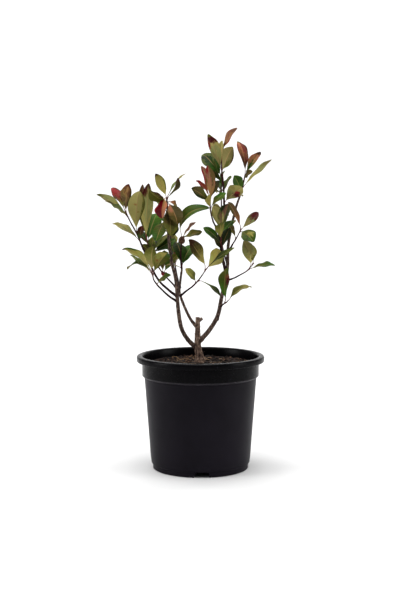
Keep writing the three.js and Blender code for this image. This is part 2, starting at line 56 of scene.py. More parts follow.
# ---- pot and soil ----
POT = {
    "height": 200, "foot": 87, "wall": 99, "collar": 103, "collar_foot": 164,
    "lip": 112.5, "lip_height": 10.5, "mouth": 103.5, "thickness": 2,
}
FOOT = {"radius": 84.8, "height": 10}  # narrower than the wall above it
ROUNDS = {"foot": 1.2, "collar": 2.2, "lip_foot": 1.6, "lip": 3.3, "mouth": 4}  # radii
WALL_RINGS = range(20, 160, 14)  # heights
POT_SIDES = 168
POT_SHARP = 38  # edges sharper than this many degrees stay sharp
NOTCH = {"width": 28, "top_width": 20, "height": 9.5, "depth": 38, "shift": 2.5, "count": 4}
SOIL = {"top": 187, "pad": 16, "fall": 3, "bump": 1.5, "gap": 0.3}  # pad under the trunk
SOIL_RADIUS = POT["collar"] - POT["thickness"] - SOIL["gap"]
SOIL_RINGS = 44
SOIL_SIDES = 120
CHIPS = {
    "count": 560, "length": (3.5, 14), "width": (0.35, 0.8), "thickness": (0.8, 2.4),
    "tilt": 0.45, "corners": (5, 7), "ragged": (0.75, 1.1),
    "looks": [0] * 4 + [1] * 4 + [2] + [3] * 4,
}
FIBRES = {"count": 90, "length": (8, 26), "radius": 0.22, "bend": 0.05, "points": 9}
TRUNK_CLEAR = 11  # how near to the axis loose pieces may lie

# ---- limbs ----
COLLAR_SWELL = 0.35  # how much a limb swells at its foot, as a share of its radius
COLLAR_REACH = 8
STEM_TIP = 0.62  # a shoot's stem at its tip, as a share of its radius at the foot
LIMB_GAP = 0.3  # between a limb's tip and the shoot that grows on from it
KNOT = 0.16  # how far an old leaf's place stands out, as a share of the radius
# kind of limb: sides, ring spacing, depth of relief, distance between old leaves' places
LIMB_MESHES = {
    "trunk": (28, 0.8, 0.075, 26), "bough": (20, 1.1, 0.06, 24), "twig": (14, 1.2, 0.04, 16),
    "stem": (12, 1.2, 0.035, 11),
}
SPUR_SIDES = 18
SPUR_RINGS = 12

# name: radii at foot and tip, path from foot to tip, which starts inside the limb it forks off
LIMBS = {
    "trunk": ((7.2, 3.7), [
        (-1, 0, 187.3), (-1, 0, 195), (-4, 0, 209), (-5, 0, 222), (-5, 0, 244), (-5, 0, 267)]),
    "bough_left": ((4, 2.4), [
        (-4, 0, 211), (-20, -2, 225), (-33, -5, 247), (-39, -7, 281), (-43, -4, 332), (-52, 1, 372),
        (-58, 6, 434)]),
    "bough_middle": ((2.8, 1.9), [
        (-5, 1, 247), (-20, 8, 267), (-36, 14, 305), (-36, 16, 325), (-33, 16, 350)]),
    "bough_right": ((4.2, 1.9), [
        (-5, 0, 222), (14, 0, 242), (30, 1, 269), (37, 1, 302), (47, 6, 352), (49, 10, 395),
        (60, 18, 450), (69, 20, 479)]),
    "branch_top": ((2.6, 1.9), [
        (45, 4, 342), (38, 1, 376), (34, 3, 406), (38, -2, 438), (41, -8, 464)]),
    "branch_side": ((1.8, 1.5), [(34, 3, 402), (31, -9, 417), (22, -20, 435)]),
    "branch_near": ((1.6, 1.3), [(42, 3, 355), (39, -8, 364), (38, -14, 378)]),
    "twig_lower_left": ((1.9, 1.4), [(-42, -6, 296), (-56, -20, 307), (-74, -36, 326)]),
    "twig_outer_left": ((2.1, 1.6), [
        (-42, -6, 305), (-57, 0, 316), (-77, 5, 337), (-101, -2, 389)]),
    "twig_behind_left": ((1.6, 1.3), [(-44, -5, 321), (-51, 12, 327), (-61, 34, 335)]),
    "twig_centre": ((1.8, 1.4), [(-36, 13, 303), (-25, 3, 313), (-15, -8, 321)]),
    "twig_lower_right": ((1.5, 1.2), [(35, 1, 284), (38, -7, 289), (41, -12, 292)]),
    "twig_outer_right": ((1.6, 1.2), [(44, 4, 331), (58, 8, 335), (70, 10, 341)]),
    "twig_middle_right": ((1.6, 1.3), [(49, 9, 383), (53, 4, 389), (56, 1, 395)]),
    "twig_back_left": ((1.8, 1.4), [(-51, 0, 364), (-54, 22, 380), (-53, 50, 402)]),
    "twig_back_low": ((1.7, 1.3), [(-36, 15, 318), (-40, 38, 328), (-45, 68, 348)]),
    "twig_back_right": ((1.8, 1.4), [(47, 7, 362), (42, 30, 376), (37, 58, 398)]),
    "twig_back_top": ((1.6, 1.3), [(37, -1, 430), (37, 16, 444), (37, 36, 468)]),
}
# Short spurs left by pruning: the limb each is part of, its two ends and its radius.
SPURS = [
    ("trunk", [(-5, 0, 259), (3, -1, 265)], 3),
    ("bough_right", [(27, 1, 265), (31.5, -1, 262.5)], 3.2),
]

# ---- leaves ----
STALK_SHARE = 0.17  # leaf stalk, as a share of the blade's length
STALK_LEAN = 0.55  # how far the stalk turns from the stem toward the blade
STALK_EXTRA = 1
STALK = {"radius": 0.78, "taper": 0.24, "swell": 0.5, "swell_reach": 1.6, "rings": 12, "sides": 8}
BUD = {"radius": 0.95, "below": 1.6, "length": 3.4, "rings": 6, "sides": 8}
DROOP = (32, 16)  # middle and spread of how far a blade bends back along its length
BLADE_WIDTH = (0.45, 0.05)  # as a share of its length
FOLD = (18, 8)  # how far each half lifts off flat
BLADE_SKEW = 1.3
BLADE_FULLNESS = (1.05, 0.75)  # at foot and tip; above 1, the outline is hollow there
GOLDEN_TURN = 137.5
FILLING = {"lowest": 0.15, "open": 58, "close": 28, "length": 46, "shrink": 8, "spread": 12}
FILLING_TRIES = 6
FAR_SIDE = 0.3  # how far back a filling leaf has to turn on a shoot with listed leaves
# Gaps between the leaves, as seen from the front: left, right, low and high.
SKY = [(22, 36, 507, 528), (-86, -76, 452, 469), (53, 76, 517, 536), (-18, 20, 424, 439),
       (-52, -38, 418, 429), (62, 74, 464, 490)]
LEAF_GAP = 7  # between a filling leaf and any other
LIMB_KEEP = 4
FAR_ALONG = 1e9  # past the swell at a limb's foot
LARGE_BUD = ("bud", 5.8, 7)  # its shoot, radius and half its height

# name: the limb the shoot grows on from, seed, the most filling leaves it may get and the space
# (left, right, low, high) they stay in, the rest of its stem's path, and its leaves that show.
# Each such leaf: its root's share of the stem, clock angle from straight up, tip's angle toward
# the front, length, width, angle from the front to its upper side, tints (foot/tip/blotch, for
# the left and the right half where they differ)[, droop].
SHOOTS = {
    "outer_left": ("twig_outer_left", 3, 0, (-185, -94, 395, 495), [
        (-109.5, -6, 411), (-122, -9, 435), (-129, -12, 450)], [
        (0.32, 5, 10, 69, 32, 160, "pale"), (0.12, -57, 25, 57, 21, 125, "greyish/pale"),
        (0.8, -57, -10, 60, 22, 125, "pale/greyish"), (0.9, -65, -35, 48, 18, 70, "olive/mauve"),
        (1, -30, -35, 52, 25, 45, "olive/red/dark red"),
        (0.9, 6, -30, 53, 27, 135, "brownish/tan/salmon"),
        (0.75, -52, 5, 34, 17, 120, "greyish/grey"), (0.15, 12, 15, 26, 15, 35, "green/dark red"),
    ]),
    "behind_left": ("twig_behind_left", 5, 3, (-130, -46, 345, 490), [
        (-71, 43, 346), (-84, 42, 370), (-93, 36, 392)], [
        (0.3, 140, 50, 24, 12, 45, "dark red/crimson"), (0.4, 35, -45, 38, 18, 135, "olive"),
        (0.3, -30, -55, 36, 16, 45, "green"), (1, 3, -5, 94, 28, 155, "pale/greyish"),
        (0.4, -25, -30, 44, 20, 145, "brownish/olive"),
        (0.45, -10, -35, 44, 20, 45, "deep/brownish"), (0.75, 50, -45, 40, 20, 55, "deep"),
        (0.95, -42, -35, 36, 20, 45, "green/deep/dark red"),
        (1, 18, -30, 57, 37, 25, "green/leafy/deep"),
        (0.7, 48, -8, 50, 17, 60, "grey/greyish/olive"), (0.7, 60, 0, 44, 22, 35, "deep/green"),
        (0.15, 5, -15, 38, 20, 30, "brownish/olive"), (0.1, 38, 2, 40, 19, 30, "green/olive"),
        (1, -4, -20, 98, 22, 150, "olive/brown/dark red"),
        (0.6, -38, 20, 32, 16, 35, "brownish/olive"), (0.7, 8, 25, 34, 18, 35, "deep/olive"),
    ]),
    "lower_left": ("twig_lower_left", 7, 1, (-135, -49, 326, 400), [
        (-80, -44, 336), (-82, -48, 346)], [
        (0, 55, 40, 36, 14, 55, "olive/green"), (1, -93, -30, 52, 19, 70, "grey/green", 110),
        (0.8, 36, 40, 54, 28, 155, "olive/yellow|olive/green"),
        (0.8, -53, -25, 50, 20, 70, "greyish/grey"), (0.9, -53, 15, 64, 22, 130, "pale/yellow", 60),
        (1, 2, -40, 50, 28, 145, "greyish/olive"),
    ]),
    "centre_left": ("bough_left", 11, 4, (-89, -29, 405, 515), [
        (-58, 7, 455), (-59, 8, 474)], [
        (0, -158, 30, 44, 26, 35, "olive/green"), (0, 162, 40, 36, 24, 35, "olive/deep"),
        (0.6, 174, 30, 56, 30, 25, "brownish/olive"),
        (0.7, 156, 35, 48, 30, 30, "salmon/brownish|brownish"),
        (1, -174, 35, 44, 28, 40, "crimson/dark red/crimson|tan/salmon"),
        (0.75, -56, 40, 42, 24, -35, "olive"), (0.8, 130, -50, 30, 16, 60, "salmon/green"),
        (0.95, 38, -20, 52, 13, 75, "grey/greyish"), (0.9, 28, 25, 42, 22, -70, "olive/brownish"),
        (0.95, -25, -15, 45, 18, 170, "yellow"),
    ]),
    "bud": ("bough_middle", 13, 2, (-63, 8, 345, 450), [
        (-35, 16, 375), (-33, 14, 402)], [
        (0, -85, -15, 28, 10, 80, "greyish"), (0, -14, -25, 46, 26, 35, "green/deep"),
        (0, 28, -30, 44, 28, 35, "green/leafy"), (1, 50, 15, 84, 28, 52, "olive/green", 128),
        (1, 43, -30, 38, 16, 110, "tan/mauve"), (1, 72, 10, 34, 20, 130, "yellow/olive"),
    ]),
    "centre": ("twig_centre", 17, 1, (-31, 58, 315, 405), [
        (-3, -14, 334), (10, -20, 353)], [
        (0.22, -36, 20, 31, 16, 35, "grey/yellow"), (0.4, 127, 25, 46, 15, 70, "grey/deep", 25),
        (0.9, -33, -30, 60, 26, 145, "yellow/brownish"), (1, 54, 25, 58, 15, 62, "deep/grey"),
        (0.92, 32, 15, 41, 30, 150, "pale/yellow"),
    ]),
    "lower_right": ("twig_lower_right", 19, 0, (27, 90, 299, 355), [
        (45, -15, 294.5), (48, -18, 298)], [
        (0, 2, -5, 56, 25, -40, "leafy/olive|leafy/green"),
        (0.4, 57, 30, 54, 23, 125, "olive/pale", 62),
    ]),
    "outer_right": ("twig_outer_right", 23, 0, (68, 133, 346, 398), [
        (82, 12, 348), (93, 14, 360)], [
        (0.7, -16, -25, 48, 25, 155, "pale/greyish"), (0.5, 80, 25, 46, 17, 65, "olive/green"),
        (0.9, -8, -35, 38, 18, 155, "olive/yellow"),
    ]),
    "middle_right": ("twig_middle_right", 29, 1, (44, 100, 396, 465), [
        (62, -4, 405), (69, -8, 419)], [
        (0.4, -32, -20, 30, 14, 45, "olive/brownish"),
        (0.9, 130, 40, 35, 29, 25, "grey/green/deep"), (1, -28, 25, 52, 19, 55, "bronze/brownish"),
        (0.9, 47, -35, 49, 16, 10, "greyish/grey"),
    ]),
    "right_top": ("bough_right", 31, 1, (72, 120, 485, 548), [
        (74, 20, 496), (78, 20, 515)], [
        (0, 125, 70, 12, 6, 60, "greyish"), (0.1, -26, 35, 36, 22, 25, "leafy/green"),
        (0.3, 48, -5, 65, 17, 125, "pale/greyish", 12), (0.75, 48, 50, 28, 15, 55, "brownish"),
        (0.9, 34, 30, 50, 18, 150, "tan/salmon"), (0.95, -13, -15, 58, 21, 35, "brown/salmon/pink"),
    ]),
    "top": ("branch_top", 37, 3, (8, 60, 464, 580), [
        (40, -8, 493), (37, -8, 521), (36, -8, 548)], [
        (0, 50, 25, 40, 29, 155, "greyish/pale"), (0.22, 25, -35, 34, 16, 60, "grey"),
        (0.25, 3, -25, 36, 14, 60, "leafy/grey"), (0.5, -40, -20, 52, 31, 25, "green/deep/grey"),
        (0.35, -22, -20, 52, 24, -45, "green/grey"), (0.6, 24, -30, 52, 31, 155, "greyish"),
        (0.6, -21, 20, 66, 22, 150, "greyish/pale"), (0.72, 1, 25, 46, 13, 150, "tan/pale"),
        (1, 33, -20, 52, 19, 125, "tan/mauve/salmon"),
    ]),
    "side": ("branch_side", 41, 2, (-12, 37, 462, 530), [
        (17, -25, 455), (17, -28, 476)], [
        (0.5, 48, -15, 36, 16, 45, "olive/leafy"), (0.5, -5, 45, 30, 14, 145, "yellow"),
        (0.85, 22, -35, 40, 18, 35, "brownish/deep"), (0.75, -55, 35, 44, 22, 35, "olive/brownish"),
        (0.9, -40, -25, 40, 14, 120, "bronze/red"), (0.8, -15, -15, 58, 22, 130, "tan/mauve/pink"),
        (0.7, -5, 15, 60, 22, 140, "tan/mauve/brownish"),
    ]),
    "near": ("branch_near", 43, 1, (4, 51, 400, 465), [
        (36, -20, 400), (37, -24, 424)], [
        (0.35, -48, 12, 41, 16, 30, "deep/green"), (0.15, 22, -12, 36, 20, 35, "deep"),
        (0.8, 15, 8, 46, 26, 145, "greyish/mauve/grey"), (0.8, -20, 5, 44, 22, 145, "pale"),
        (0.5, 0, 45, 40, 19, 155, "yellow/olive"), (0.8, 46, -30, 30, 15, 40, "leafy/green"),
        (0.1, -32, 0, 24, 12, 40, "deep/brownish"),
    ]),
    "back_left": ("twig_back_left", 47, 8, (-94, -34, 392, 515), [
        (-56, 62, 418), (-60, 70, 444)], []),
    "back_low": ("twig_back_low", 53, 7, (-108, 12, 330, 440), [
        (-47, 80, 362), (-48, 88, 382)], []),
    "back_right": ("twig_back_right", 59, 8, (12, 86, 385, 466), [
        (35, 70, 416), (34, 76, 438)], []),
    "back_top": ("twig_back_top", 61, 7, (4, 55, 463, 575), [
        (37, 46, 488), (38, 50, 510)], []),
}

# Marks on listed leaves: the shoot and the leaf's place in its list, then for each mark its
# tint, share of the blade's length, place across from -1 at the left edge to 1 at the right,
# and its reach along and across.
MARKS = {
    ("outer_left", 0): [("tan", 0.6, -0.15, 0.03, 0.16), ("bronze", 0.42, 0.3, 0.02, 0.1),
                        ("olive", 0.5, 1, 0.5, 0.3)],
    ("outer_left", 1): [("bronze", 0.5, -0.1, 0.04, 0.2)],
    ("outer_left", 2): [("olive", 0.95, 0, 0.12, 2)],
    ("outer_left", 4): [("red", 0.8, -0.3, 0.35, 0.9), ("dark red", 0.98, 0, 0.06, 2)],
    ("outer_left", 5): [("dark red", 0.97, 0, 0.1, 2), ("brownish", 0.55, 0.9, 0.4, 0.5)],
    ("behind_left", 3): [("dark red", 0.84, -0.8, 0.14, 0.6), ("brown", 0.97, 0, 0.08, 2)],
    ("lower_left", 4): [("brown", 0.97, 0, 0.06, 2), ("green", 0.8, 0.8, 0.2, 0.4)],
    ("lower_left", 2): [("bronze", 0.4, -0.4, 0.04, 0.15)],
    ("centre_left", 5): [("brown", 0.6, 0.8, 0.4, 0.4)],
    ("centre_left", 9): [("olive", 0.5, 1, 0.5, 0.3), ("brown", 0.96, 0, 0.08, 2)],
    ("centre_left", 8): [("brown", 0.93, 0, 0.12, 2)],
    ("centre", 2): [("brown", 0.9, 0, 0.14, 2)],
    ("lower_right", 0): [("bronze", 0.62, 0.6, 0.26, 0.5), ("dark red", 0.5, 0.7, 0.14, 0.35)],
    ("outer_right", 0): [("greyish", 0.6, 0.3, 0.25, 0.5)],
    ("middle_right", 1): [("yellow", 0.55, 0.4, 0.2, 0.35)],
    ("middle_right", 3): [("dark red", 0.9, 0, 0.4, 2)],
    ("right_top", 4): [("brown", 0.93, 0, 0.14, 2), ("green", 0.2, 0, 0.25, 1)],
    ("right_top", 5): [("brown", 0.75, 0.95, 0.35, 0.3), ("olive", 0.97, 0, 0.06, 2)],
    ("top", 0): [("dark red", 0.5, 0.5, 0.15, 0.5), ("red", 0.6, 0.3, 0.1, 0.3)],
    ("top", 5): [("brown", 0.7, 1, 0.3, 0.16), ("olive", 0.3, 0.6, 0.25, 0.5)],
    ("top", 6): [("dark red", 0.82, 0, 0.12, 2), ("olive", 0.97, 0, 0.08, 2),
                 ("red", 0.7, -0.9, 0.14, 0.4)],
    ("top", 8): [("brown", 0.1, 0, 0.2, 2), ("crimson", 0.6, 0.9, 0.3, 0.25)],
    ("side", 3): [("deep", 0.6, -0.9, 0.5, 0.4), ("deep", 0.98, 0, 0.08, 2)],
    ("side", 5): [("crimson", 0.7, -0.8, 0.2, 0.3)],
    ("side", 6): [("red", 0.9, -0.6, 0.2, 0.5)],
    ("near", 2): [("deep", 0.8, -0.7, 0.2, 0.4), ("grey", 0.4, 0.6, 0.25, 0.5)],
    ("near", 4): [("olive", 0.9, 0.3, 0.2, 0.6)],
}

# Which shoots' leaves are joined into each piece.
LEAF_PIECES = {
    "leaves_left": ["outer_left", "behind_left", "lower_left", "centre_left"],
    "leaves_middle": ["bud", "centre", "near", "side"],
    "leaves_right": ["lower_right", "outer_right", "middle_right", "right_top", "top"],
    "leaves_back": ["back_left", "back_low", "back_right", "back_top"],
}

# Leaf tints by name, as screen colours.
TINTS = {
    "pale": (168, 161, 98), "yellow": (141, 135, 66), "olive": (86, 86, 30),
    "brownish": (68, 56, 26), "green": (52, 76, 18), "leafy": (60, 96, 20),
    "deep": (28, 42, 10), "grey": (78, 86, 42), "greyish": (120, 118, 72),
    "tan": (150, 118, 70), "salmon": (152, 94, 66), "pink": (140, 60, 56),
    "red": (120, 32, 30), "crimson": (134, 8, 30), "dark red": (66, 14, 14),
    "bronze": (116, 70, 38), "brown": (66, 38, 22), "mauve": (128, 84, 70),
}
YOUNG = {"above": 0.8, "share": 0.6}  # which filling leaves are young ones
YOUNG_TINTS = ["bronze/red", "olive/pink", "tan/salmon", "yellow/bronze"]
OLD_TINTS = ["green", "deep/green", "olive", "grey/olive", "green/deep", "yellow/olive", "grey"]
TINT_STEPS = 4
TINT_DEPTH = 1.08  # above 1, dark tints go darker
TINT_GRAIN = 9  # screen colours are rounded to this, which keeps the materials few
MARK_STEPS = 4
RIB = (168, 132, 92)  # mixed into a blade's own tint along its rib
OTHER_SIDE = {  # what a tint turns into on the side that doesn't show from the front
    "darker": {"pale": "olive", "yellow": "green", "greyish": "green", "grey": "green",
               "olive": "deep", "tan": "bronze", "salmon": "red", "pink": "red"},
    "lighter": {"deep": "grey", "green": "greyish", "olive": "greyish", "brownish": "grey",
                "red": "pink", "crimson": "pink", "dark red": "mauve", "bronze": "tan",
                "brown": "bronze"},
}

# ---- other looks, colours as screen colours ----
# name: dark and light colour, roughness, specular
POT_LOOKS = {
    "pot_wall": ((15, 13, 18), (24, 21, 28), 0.42, 0.05),
    # the middle look is a painted highlight: a pale band along the collar's lower edge
    "pot_painted_highlight": ((34, 32, 36), (46, 44, 48), 0.36, 0.1),
    "pot_rim": ((3, 3, 4), (6, 5, 8), 0.27, 0.05),
}
# name: dark and light colour, scale of the grain
SOIL_LOOKS = {
    "soil_peat": ((8, 6, 6), (46, 34, 28), 420),
    "chip_0": ((13, 10, 9), (44, 32, 26), 260),
    "chip_1": ((22, 15, 12), (68, 47, 37), 260),
    "chip_2": ((64, 44, 33), (146, 112, 88), 260),
    "chip_3": ((5, 4, 4), (20, 16, 14), 260),
    "fibre": ((112, 82, 54), (192, 158, 116), 500),
}
# name: dark, middle and light colour, scale across and its share along, bump height in metres
BARK_LOOKS = {
    "bark_old": ((20, 14, 11), (84, 66, 57), (168, 142, 122), 330, 0.45, 0.0013),
    "bark_grown": ((18, 12, 10), (66, 51, 45), (134, 113, 99), 420, 0.4, 0.001),
    "bark_young": ((8, 3, 4), (29, 11, 15), (58, 28, 29), 620, 0.35, 0.0005),
    "cut_wood": ((34, 24, 19), (68, 51, 42), (108, 87, 72), 700, 1, 0.0006),
    "shoot_bark": ((14, 5, 7), (44, 15, 20), (74, 38, 35), 700, 0.35, 0.0003),
    "stalk_skin": ((58, 20, 24), (90, 40, 38), (126, 86, 60), 500, 0.6, 0.0001),
    "bud_scales": ((36, 18, 14), (76, 50, 40), (128, 96, 74), 600, 0.5, 0.0003),
}
LEAF_ROUGHNESS = 0.55
LEAF_SPECULAR = 0.08

# ---- studio, in metres ----
FLOOR = {"half": 6, "front": -6, "back": 3.6, "sweep": 1.5, "top": 5.2, "grey": 0.61}
SURROUND = {"From_Min": -1, "From_Max": 0.3, "To_Min": 0.06, "To_Max": 0.52}
# name, place, target, width and height, watts
LIGHTS = [
    ("left", (-1.9, -0.6, 0.75), (0, 0, 0.3), (0.9, 1.3), 21),
    ("right", (1.9, -0.6, 0.75), (0, 0, 0.3), (0.9, 1.3), 20),
    ("above", (-0.2, -0.4, 2.9), (0, 0, 0.3), (2.4, 2.0), 92),
    ("backdrop", (0, 0.9, 3.2), (0, 3.6, 1.0), (3.5, 0.8), 165),
]

# ---- finer leaf relief (mm) ----
BLADE_ROWS = 45
BLADE_COLUMNS = (0, 0.045, 0.14, 0.3, 0.48, 0.66, 0.84, 1)
BLADE_ENDS = (0.012, 0.994)
BLADE_LAST = 0.996  # no point lies past this share of the length
BLADE_THICKNESS = 0.36
BLADE_HOLLOW = 0.28  # how far each half sinks again toward its edge
VEINS = 9
VEIN_SWEEP = 0.12  # how far a side vein runs forward, as a share of the blade's length
VEIN_SWEEP_FADE = 0.35  # how much less of it there is at the tip
VEIN_RELIEF = 0.28
RIB_RELIEF = 0.55
RIB_FADE = 0.75
RIB_WIDTH = 0.12
RIB_ABOVE = 0.12  # share of the rib that shows on the upper side
RIB_PAINTED = 0.04  # how far from the middle the rib's colour reaches
TOOTH = 0.28
MARGIN_WAVE = 1.1
WAVE_CYCLES = (1.2, 2.6)
TIP_CURL = 0.05
CURL_RANGE = (-0.4, 1)
CURL_START = 0.72  # where along the blade its tip begins to curl
NARROW = {"tooth": 3, "wave": 6, "vein": 5}  # half widths under which relief fades
PATCHES = (2.4, 1.1, 3.7)  # noise scales along, across and from leaf to leaf
GRAIN = (9, 4, 1.9)
BLOTCH_AT = 0.62  # where the noise and the place add up to more, a blotch shows


# ---- small helpers ----
def linear(colour):
    """A screen colour from 0 to 255 as linear red, green, blue."""
    shares = [c / 255 for c in colour]
    return tuple(s / 12.92 if s <= 0.04045 else ((s + 0.055) / 1.055) ** 2.4 for s in shares)


def mixed(a, b, share):
    return tuple(x + (y - x) * share for x, y in zip(a, b))


def unit(v):
    return v / np.linalg.norm(v)


def rough(*place):
    """Smooth noise from -1 to 1 at a place."""
    return noise.noise(Vector(place))


def linked(name, data):
    """A new object in the scene."""
    thing = bpy.data.objects.new(name, data)
    bpy.context.scene.collection.objects.link(thing)
    return thing


def seeded_draws(seed):
    """Draws from -1 to 1 by Park and Miller's generator, as in the solids."""
    modulus = 2147483647
    state = [(seed * 7919 + 17) % modulus]

    def draw():
        state[0] = state[0] * 16807 % modulus
        return 2 * state[0] / modulus - 1

    for _ in range(3):
        draw()
    return draw


class Curve:
    """A uniform Catmull-Rom curve through points, with shares of its length."""

    DIVISIONS = 200

    def __init__(self, points):
        self.points = np.array(points, float)
        samples = [self.at(i / self.DIVISIONS) for i in range(self.DIVISIONS + 1)]
        steps = np.linalg.norm(np.diff(samples, axis=0), axis=1)
        self.reach = np.concatenate([[0], np.cumsum(steps)])
        self.length = self.reach[-1]

    def at(self, t):
        points = self.points
        last = len(points) - 1
        place = min(max(t, 0), 1) * last
        i = min(int(place), last - 1)
        w = place - i
        p1, p2 = points[i], points[i + 1]
        p0 = points[i - 1] if i > 0 else 2 * p1 - p2
        p3 = points[i + 2] if i + 2 <= last else 2 * p2 - p1
        t0, t1 = (p2 - p0) / 2, (p3 - p1) / 2
        return (p1 + t0 * w + (-3 * p1 + 3 * p2 - 2 * t0 - t1) * w ** 2
                + (2 * p1 - 2 * p2 + t0 + t1) * w ** 3)

    def tangent(self, t):
        step = 1e-4
        return unit(self.at(min(t + step, 1)) - self.at(max(t - step, 0)))

    def parameter(self, share):
        shares = self.reach / self.length
        return float(np.interp(share, shares, np.linspace(0, 1, self.DIVISIONS + 1)))


class Shape:
    """Vertices in millimetres and faces with a material slot each, gathered into one mesh."""

    def __init__(self):
        self.vertices, self.faces, self.slots = [], [], []
        self.count = 0

    def add(self, vertices, faces, slots):
        self.vertices.append(np.asarray(vertices, float))
        self.faces.extend([tuple(i + self.count for i in face) for face in faces])
        self.slots.extend([slots] * len(faces) if isinstance(slots, int) else slots)
        self.count += len(vertices)

    def build(self, name, materials, sharp=50):
        mesh = bpy.data.meshes.new(name)
        vertices = np.concatenate(self.vertices) / METRE
        mesh.from_pydata(vertices.tolist(), [], self.faces)
        for material in materials:
            mesh.materials.append(material)
        mesh.polygons.foreach_set("material_index", self.slots)
        mesh.shade_smooth()
        mesh.set_sharp_from_angle(angle=radians(sharp))
        mesh.validate()
        return linked(name, mesh)


def ring_faces(rings, sides, caps=(True, True)):
    """Faces of a tube of rings, each ring counter-clockwise about the way the tube runs."""
    faces = []
    for r in range(rings - 1):
        for k in range(sides):
            a, b = r * sides + k, r * sides + (k + 1) % sides
            faces.append((a, b, b + sides, a + sides))
    if caps[0]:
        faces.append(tuple(reversed(range(sides))))
    if caps[1]:
        faces.append(tuple((rings - 1) * sides + k for k in range(sides)))
    return faces


def tube(points, radii, sides, relief=None):
    """Vertices of a tube along the points; relief(point, angle, along) scales the radius."""
    points = np.asarray(points, float)
    tangents = np.gradient(points, axis=0)
    tangents /= np.linalg.norm(tangents, axis=1, keepdims=True)
    start = np.array([0.0, 1.0, 0.0]) if abs(tangents[0][1]) < 0.9 else np.array([1.0, 0, 0])
    across = unit(np.cross(start, tangents[0]))
    travelled = np.concatenate([[0], np.cumsum(np.linalg.norm(np.diff(points, axis=0), axis=1))])
    vertices = []
    for point, tangent, radius, along in zip(points, tangents, radii, travelled):
        across = unit(across - tangent * across.dot(tangent))
        other = np.cross(tangent, across)
        for k in range(sides):
            angle = 2 * pi * k / sides
            out = cos(angle) * across + sin(angle) * other
            scale = relief(point + out * radius, angle, along) if relief else 1
            vertices.append(point + out * radius * scale)
    return vertices


# ---- materials ----
def add_node(tree, kind, **inputs):
    node = tree.nodes.new(kind)
    for key, value in inputs.items():
        node.inputs[key.replace("_", " ")].default_value = value
    return node


class Shader:
    """A Principled material with short helpers for its procedural nodes."""

    def __init__(self, name, colour, roughness, specular):
        self.material = bpy.data.materials.new(name)
        self.material.use_nodes = True
        self.material.diffuse_color = (*colour, 1)
        self.tree = self.material.node_tree
        self.surface = self.tree.nodes["Principled BSDF"].inputs
        self.surface["Base Color"].default_value = (*colour, 1)
        self.surface["Roughness"].default_value = roughness
        self.surface["Specular IOR Level"].default_value = specular

    def noise(self, scale, detail, roughness=0.55, stretch=(1, 1, 1)):
        """Noise in object coordinates, stretched."""
        where = add_node(self.tree, "ShaderNodeTexCoord")
        mapping = add_node(self.tree, "ShaderNodeMapping", Scale=stretch)
        grain = add_node(self.tree, "ShaderNodeTexNoise", Scale=scale, Detail=detail,
                         Roughness=roughness)
        self.tree.links.new(where.outputs["Object"], mapping.inputs["Vector"])
        self.tree.links.new(mapping.outputs["Vector"], grain.inputs["Vector"])
        return grain.outputs["Fac"]

    def ramp(self, factor, positions, colours):
        """The base colour, from a ramp between screen colours."""
        node = add_node(self.tree, "ShaderNodeValToRGB")
        elements = node.color_ramp.elements
        while len(elements) < len(colours):
            elements.new(0.5)
        for element, position, colour in zip(elements, positions, colours):
            element.position = position
            element.color = (*linear(colour), 1)
        self.tree.links.new(factor, node.inputs["Fac"])
        self.tree.links.new(node.outputs["Color"], self.surface["Base Color"])

    def roughness(self, factor, low, high):
        node = add_node(self.tree, "ShaderNodeMapRange", To_Min=low, To_Max=high)
        self.tree.links.new(factor, node.inputs["Value"])
        self.tree.links.new(node.outputs["Result"], self.surface["Roughness"])

    def bump(self, height, strength, distance):
        node = add_node(self.tree, "ShaderNodeBump", Strength=strength, Distance=distance)
        self.tree.links.new(height, node.inputs["Height"])
        self.tree.links.new(node.outputs["Normal"], self.surface["Normal"])


def pot_material(name):
    *colours, roughness, specular = POT_LOOKS[name]
    shader = Shader(name, linear(colours[-1]), roughness, specular)
    shader.ramp(shader.noise(9, detail=3), (0.3, 0.7), colours)
    shader.roughness(shader.noise(60, detail=5), roughness - 0.06, roughness + 0.06)
    shader.bump(shader.noise(900, detail=3), 0.12, 0.0004)
    return shader.material


def soil_material(name):
    *colours, scale = SOIL_LOOKS[name]
    shader = Shader(name, linear(colours[-1]), 0.95, specular=0.15)
    grain = shader.noise(scale, detail=8, roughness=0.7)
    shader.ramp(grain, (0.32, 0.7), colours)
    shader.bump(grain, 0.8, 0.0015)
    return shader.material


def bark_material(name):
    *colours, scale, lengthwise, relief = BARK_LOOKS[name]
    shader = Shader(name, linear(colours[1]), 0.8, specular=0.12)
    streaks = shader.noise(scale, detail=8, roughness=0.68, stretch=(1, 1, lengthwise))
    shader.ramp(streaks, (0.33, 0.5, 0.67), colours)
    shader.roughness(streaks, 0.65, 0.9)
    shader.bump(streaks, 0.6, relief)
    return shader.material


def leaf_material(name, colour):
    shader = Shader(name, colour, LEAF_ROUGHNESS, LEAF_SPECULAR)
    shader.bump(shader.noise(1400, detail=2), 0.14, 0.0002)
    return shader.material


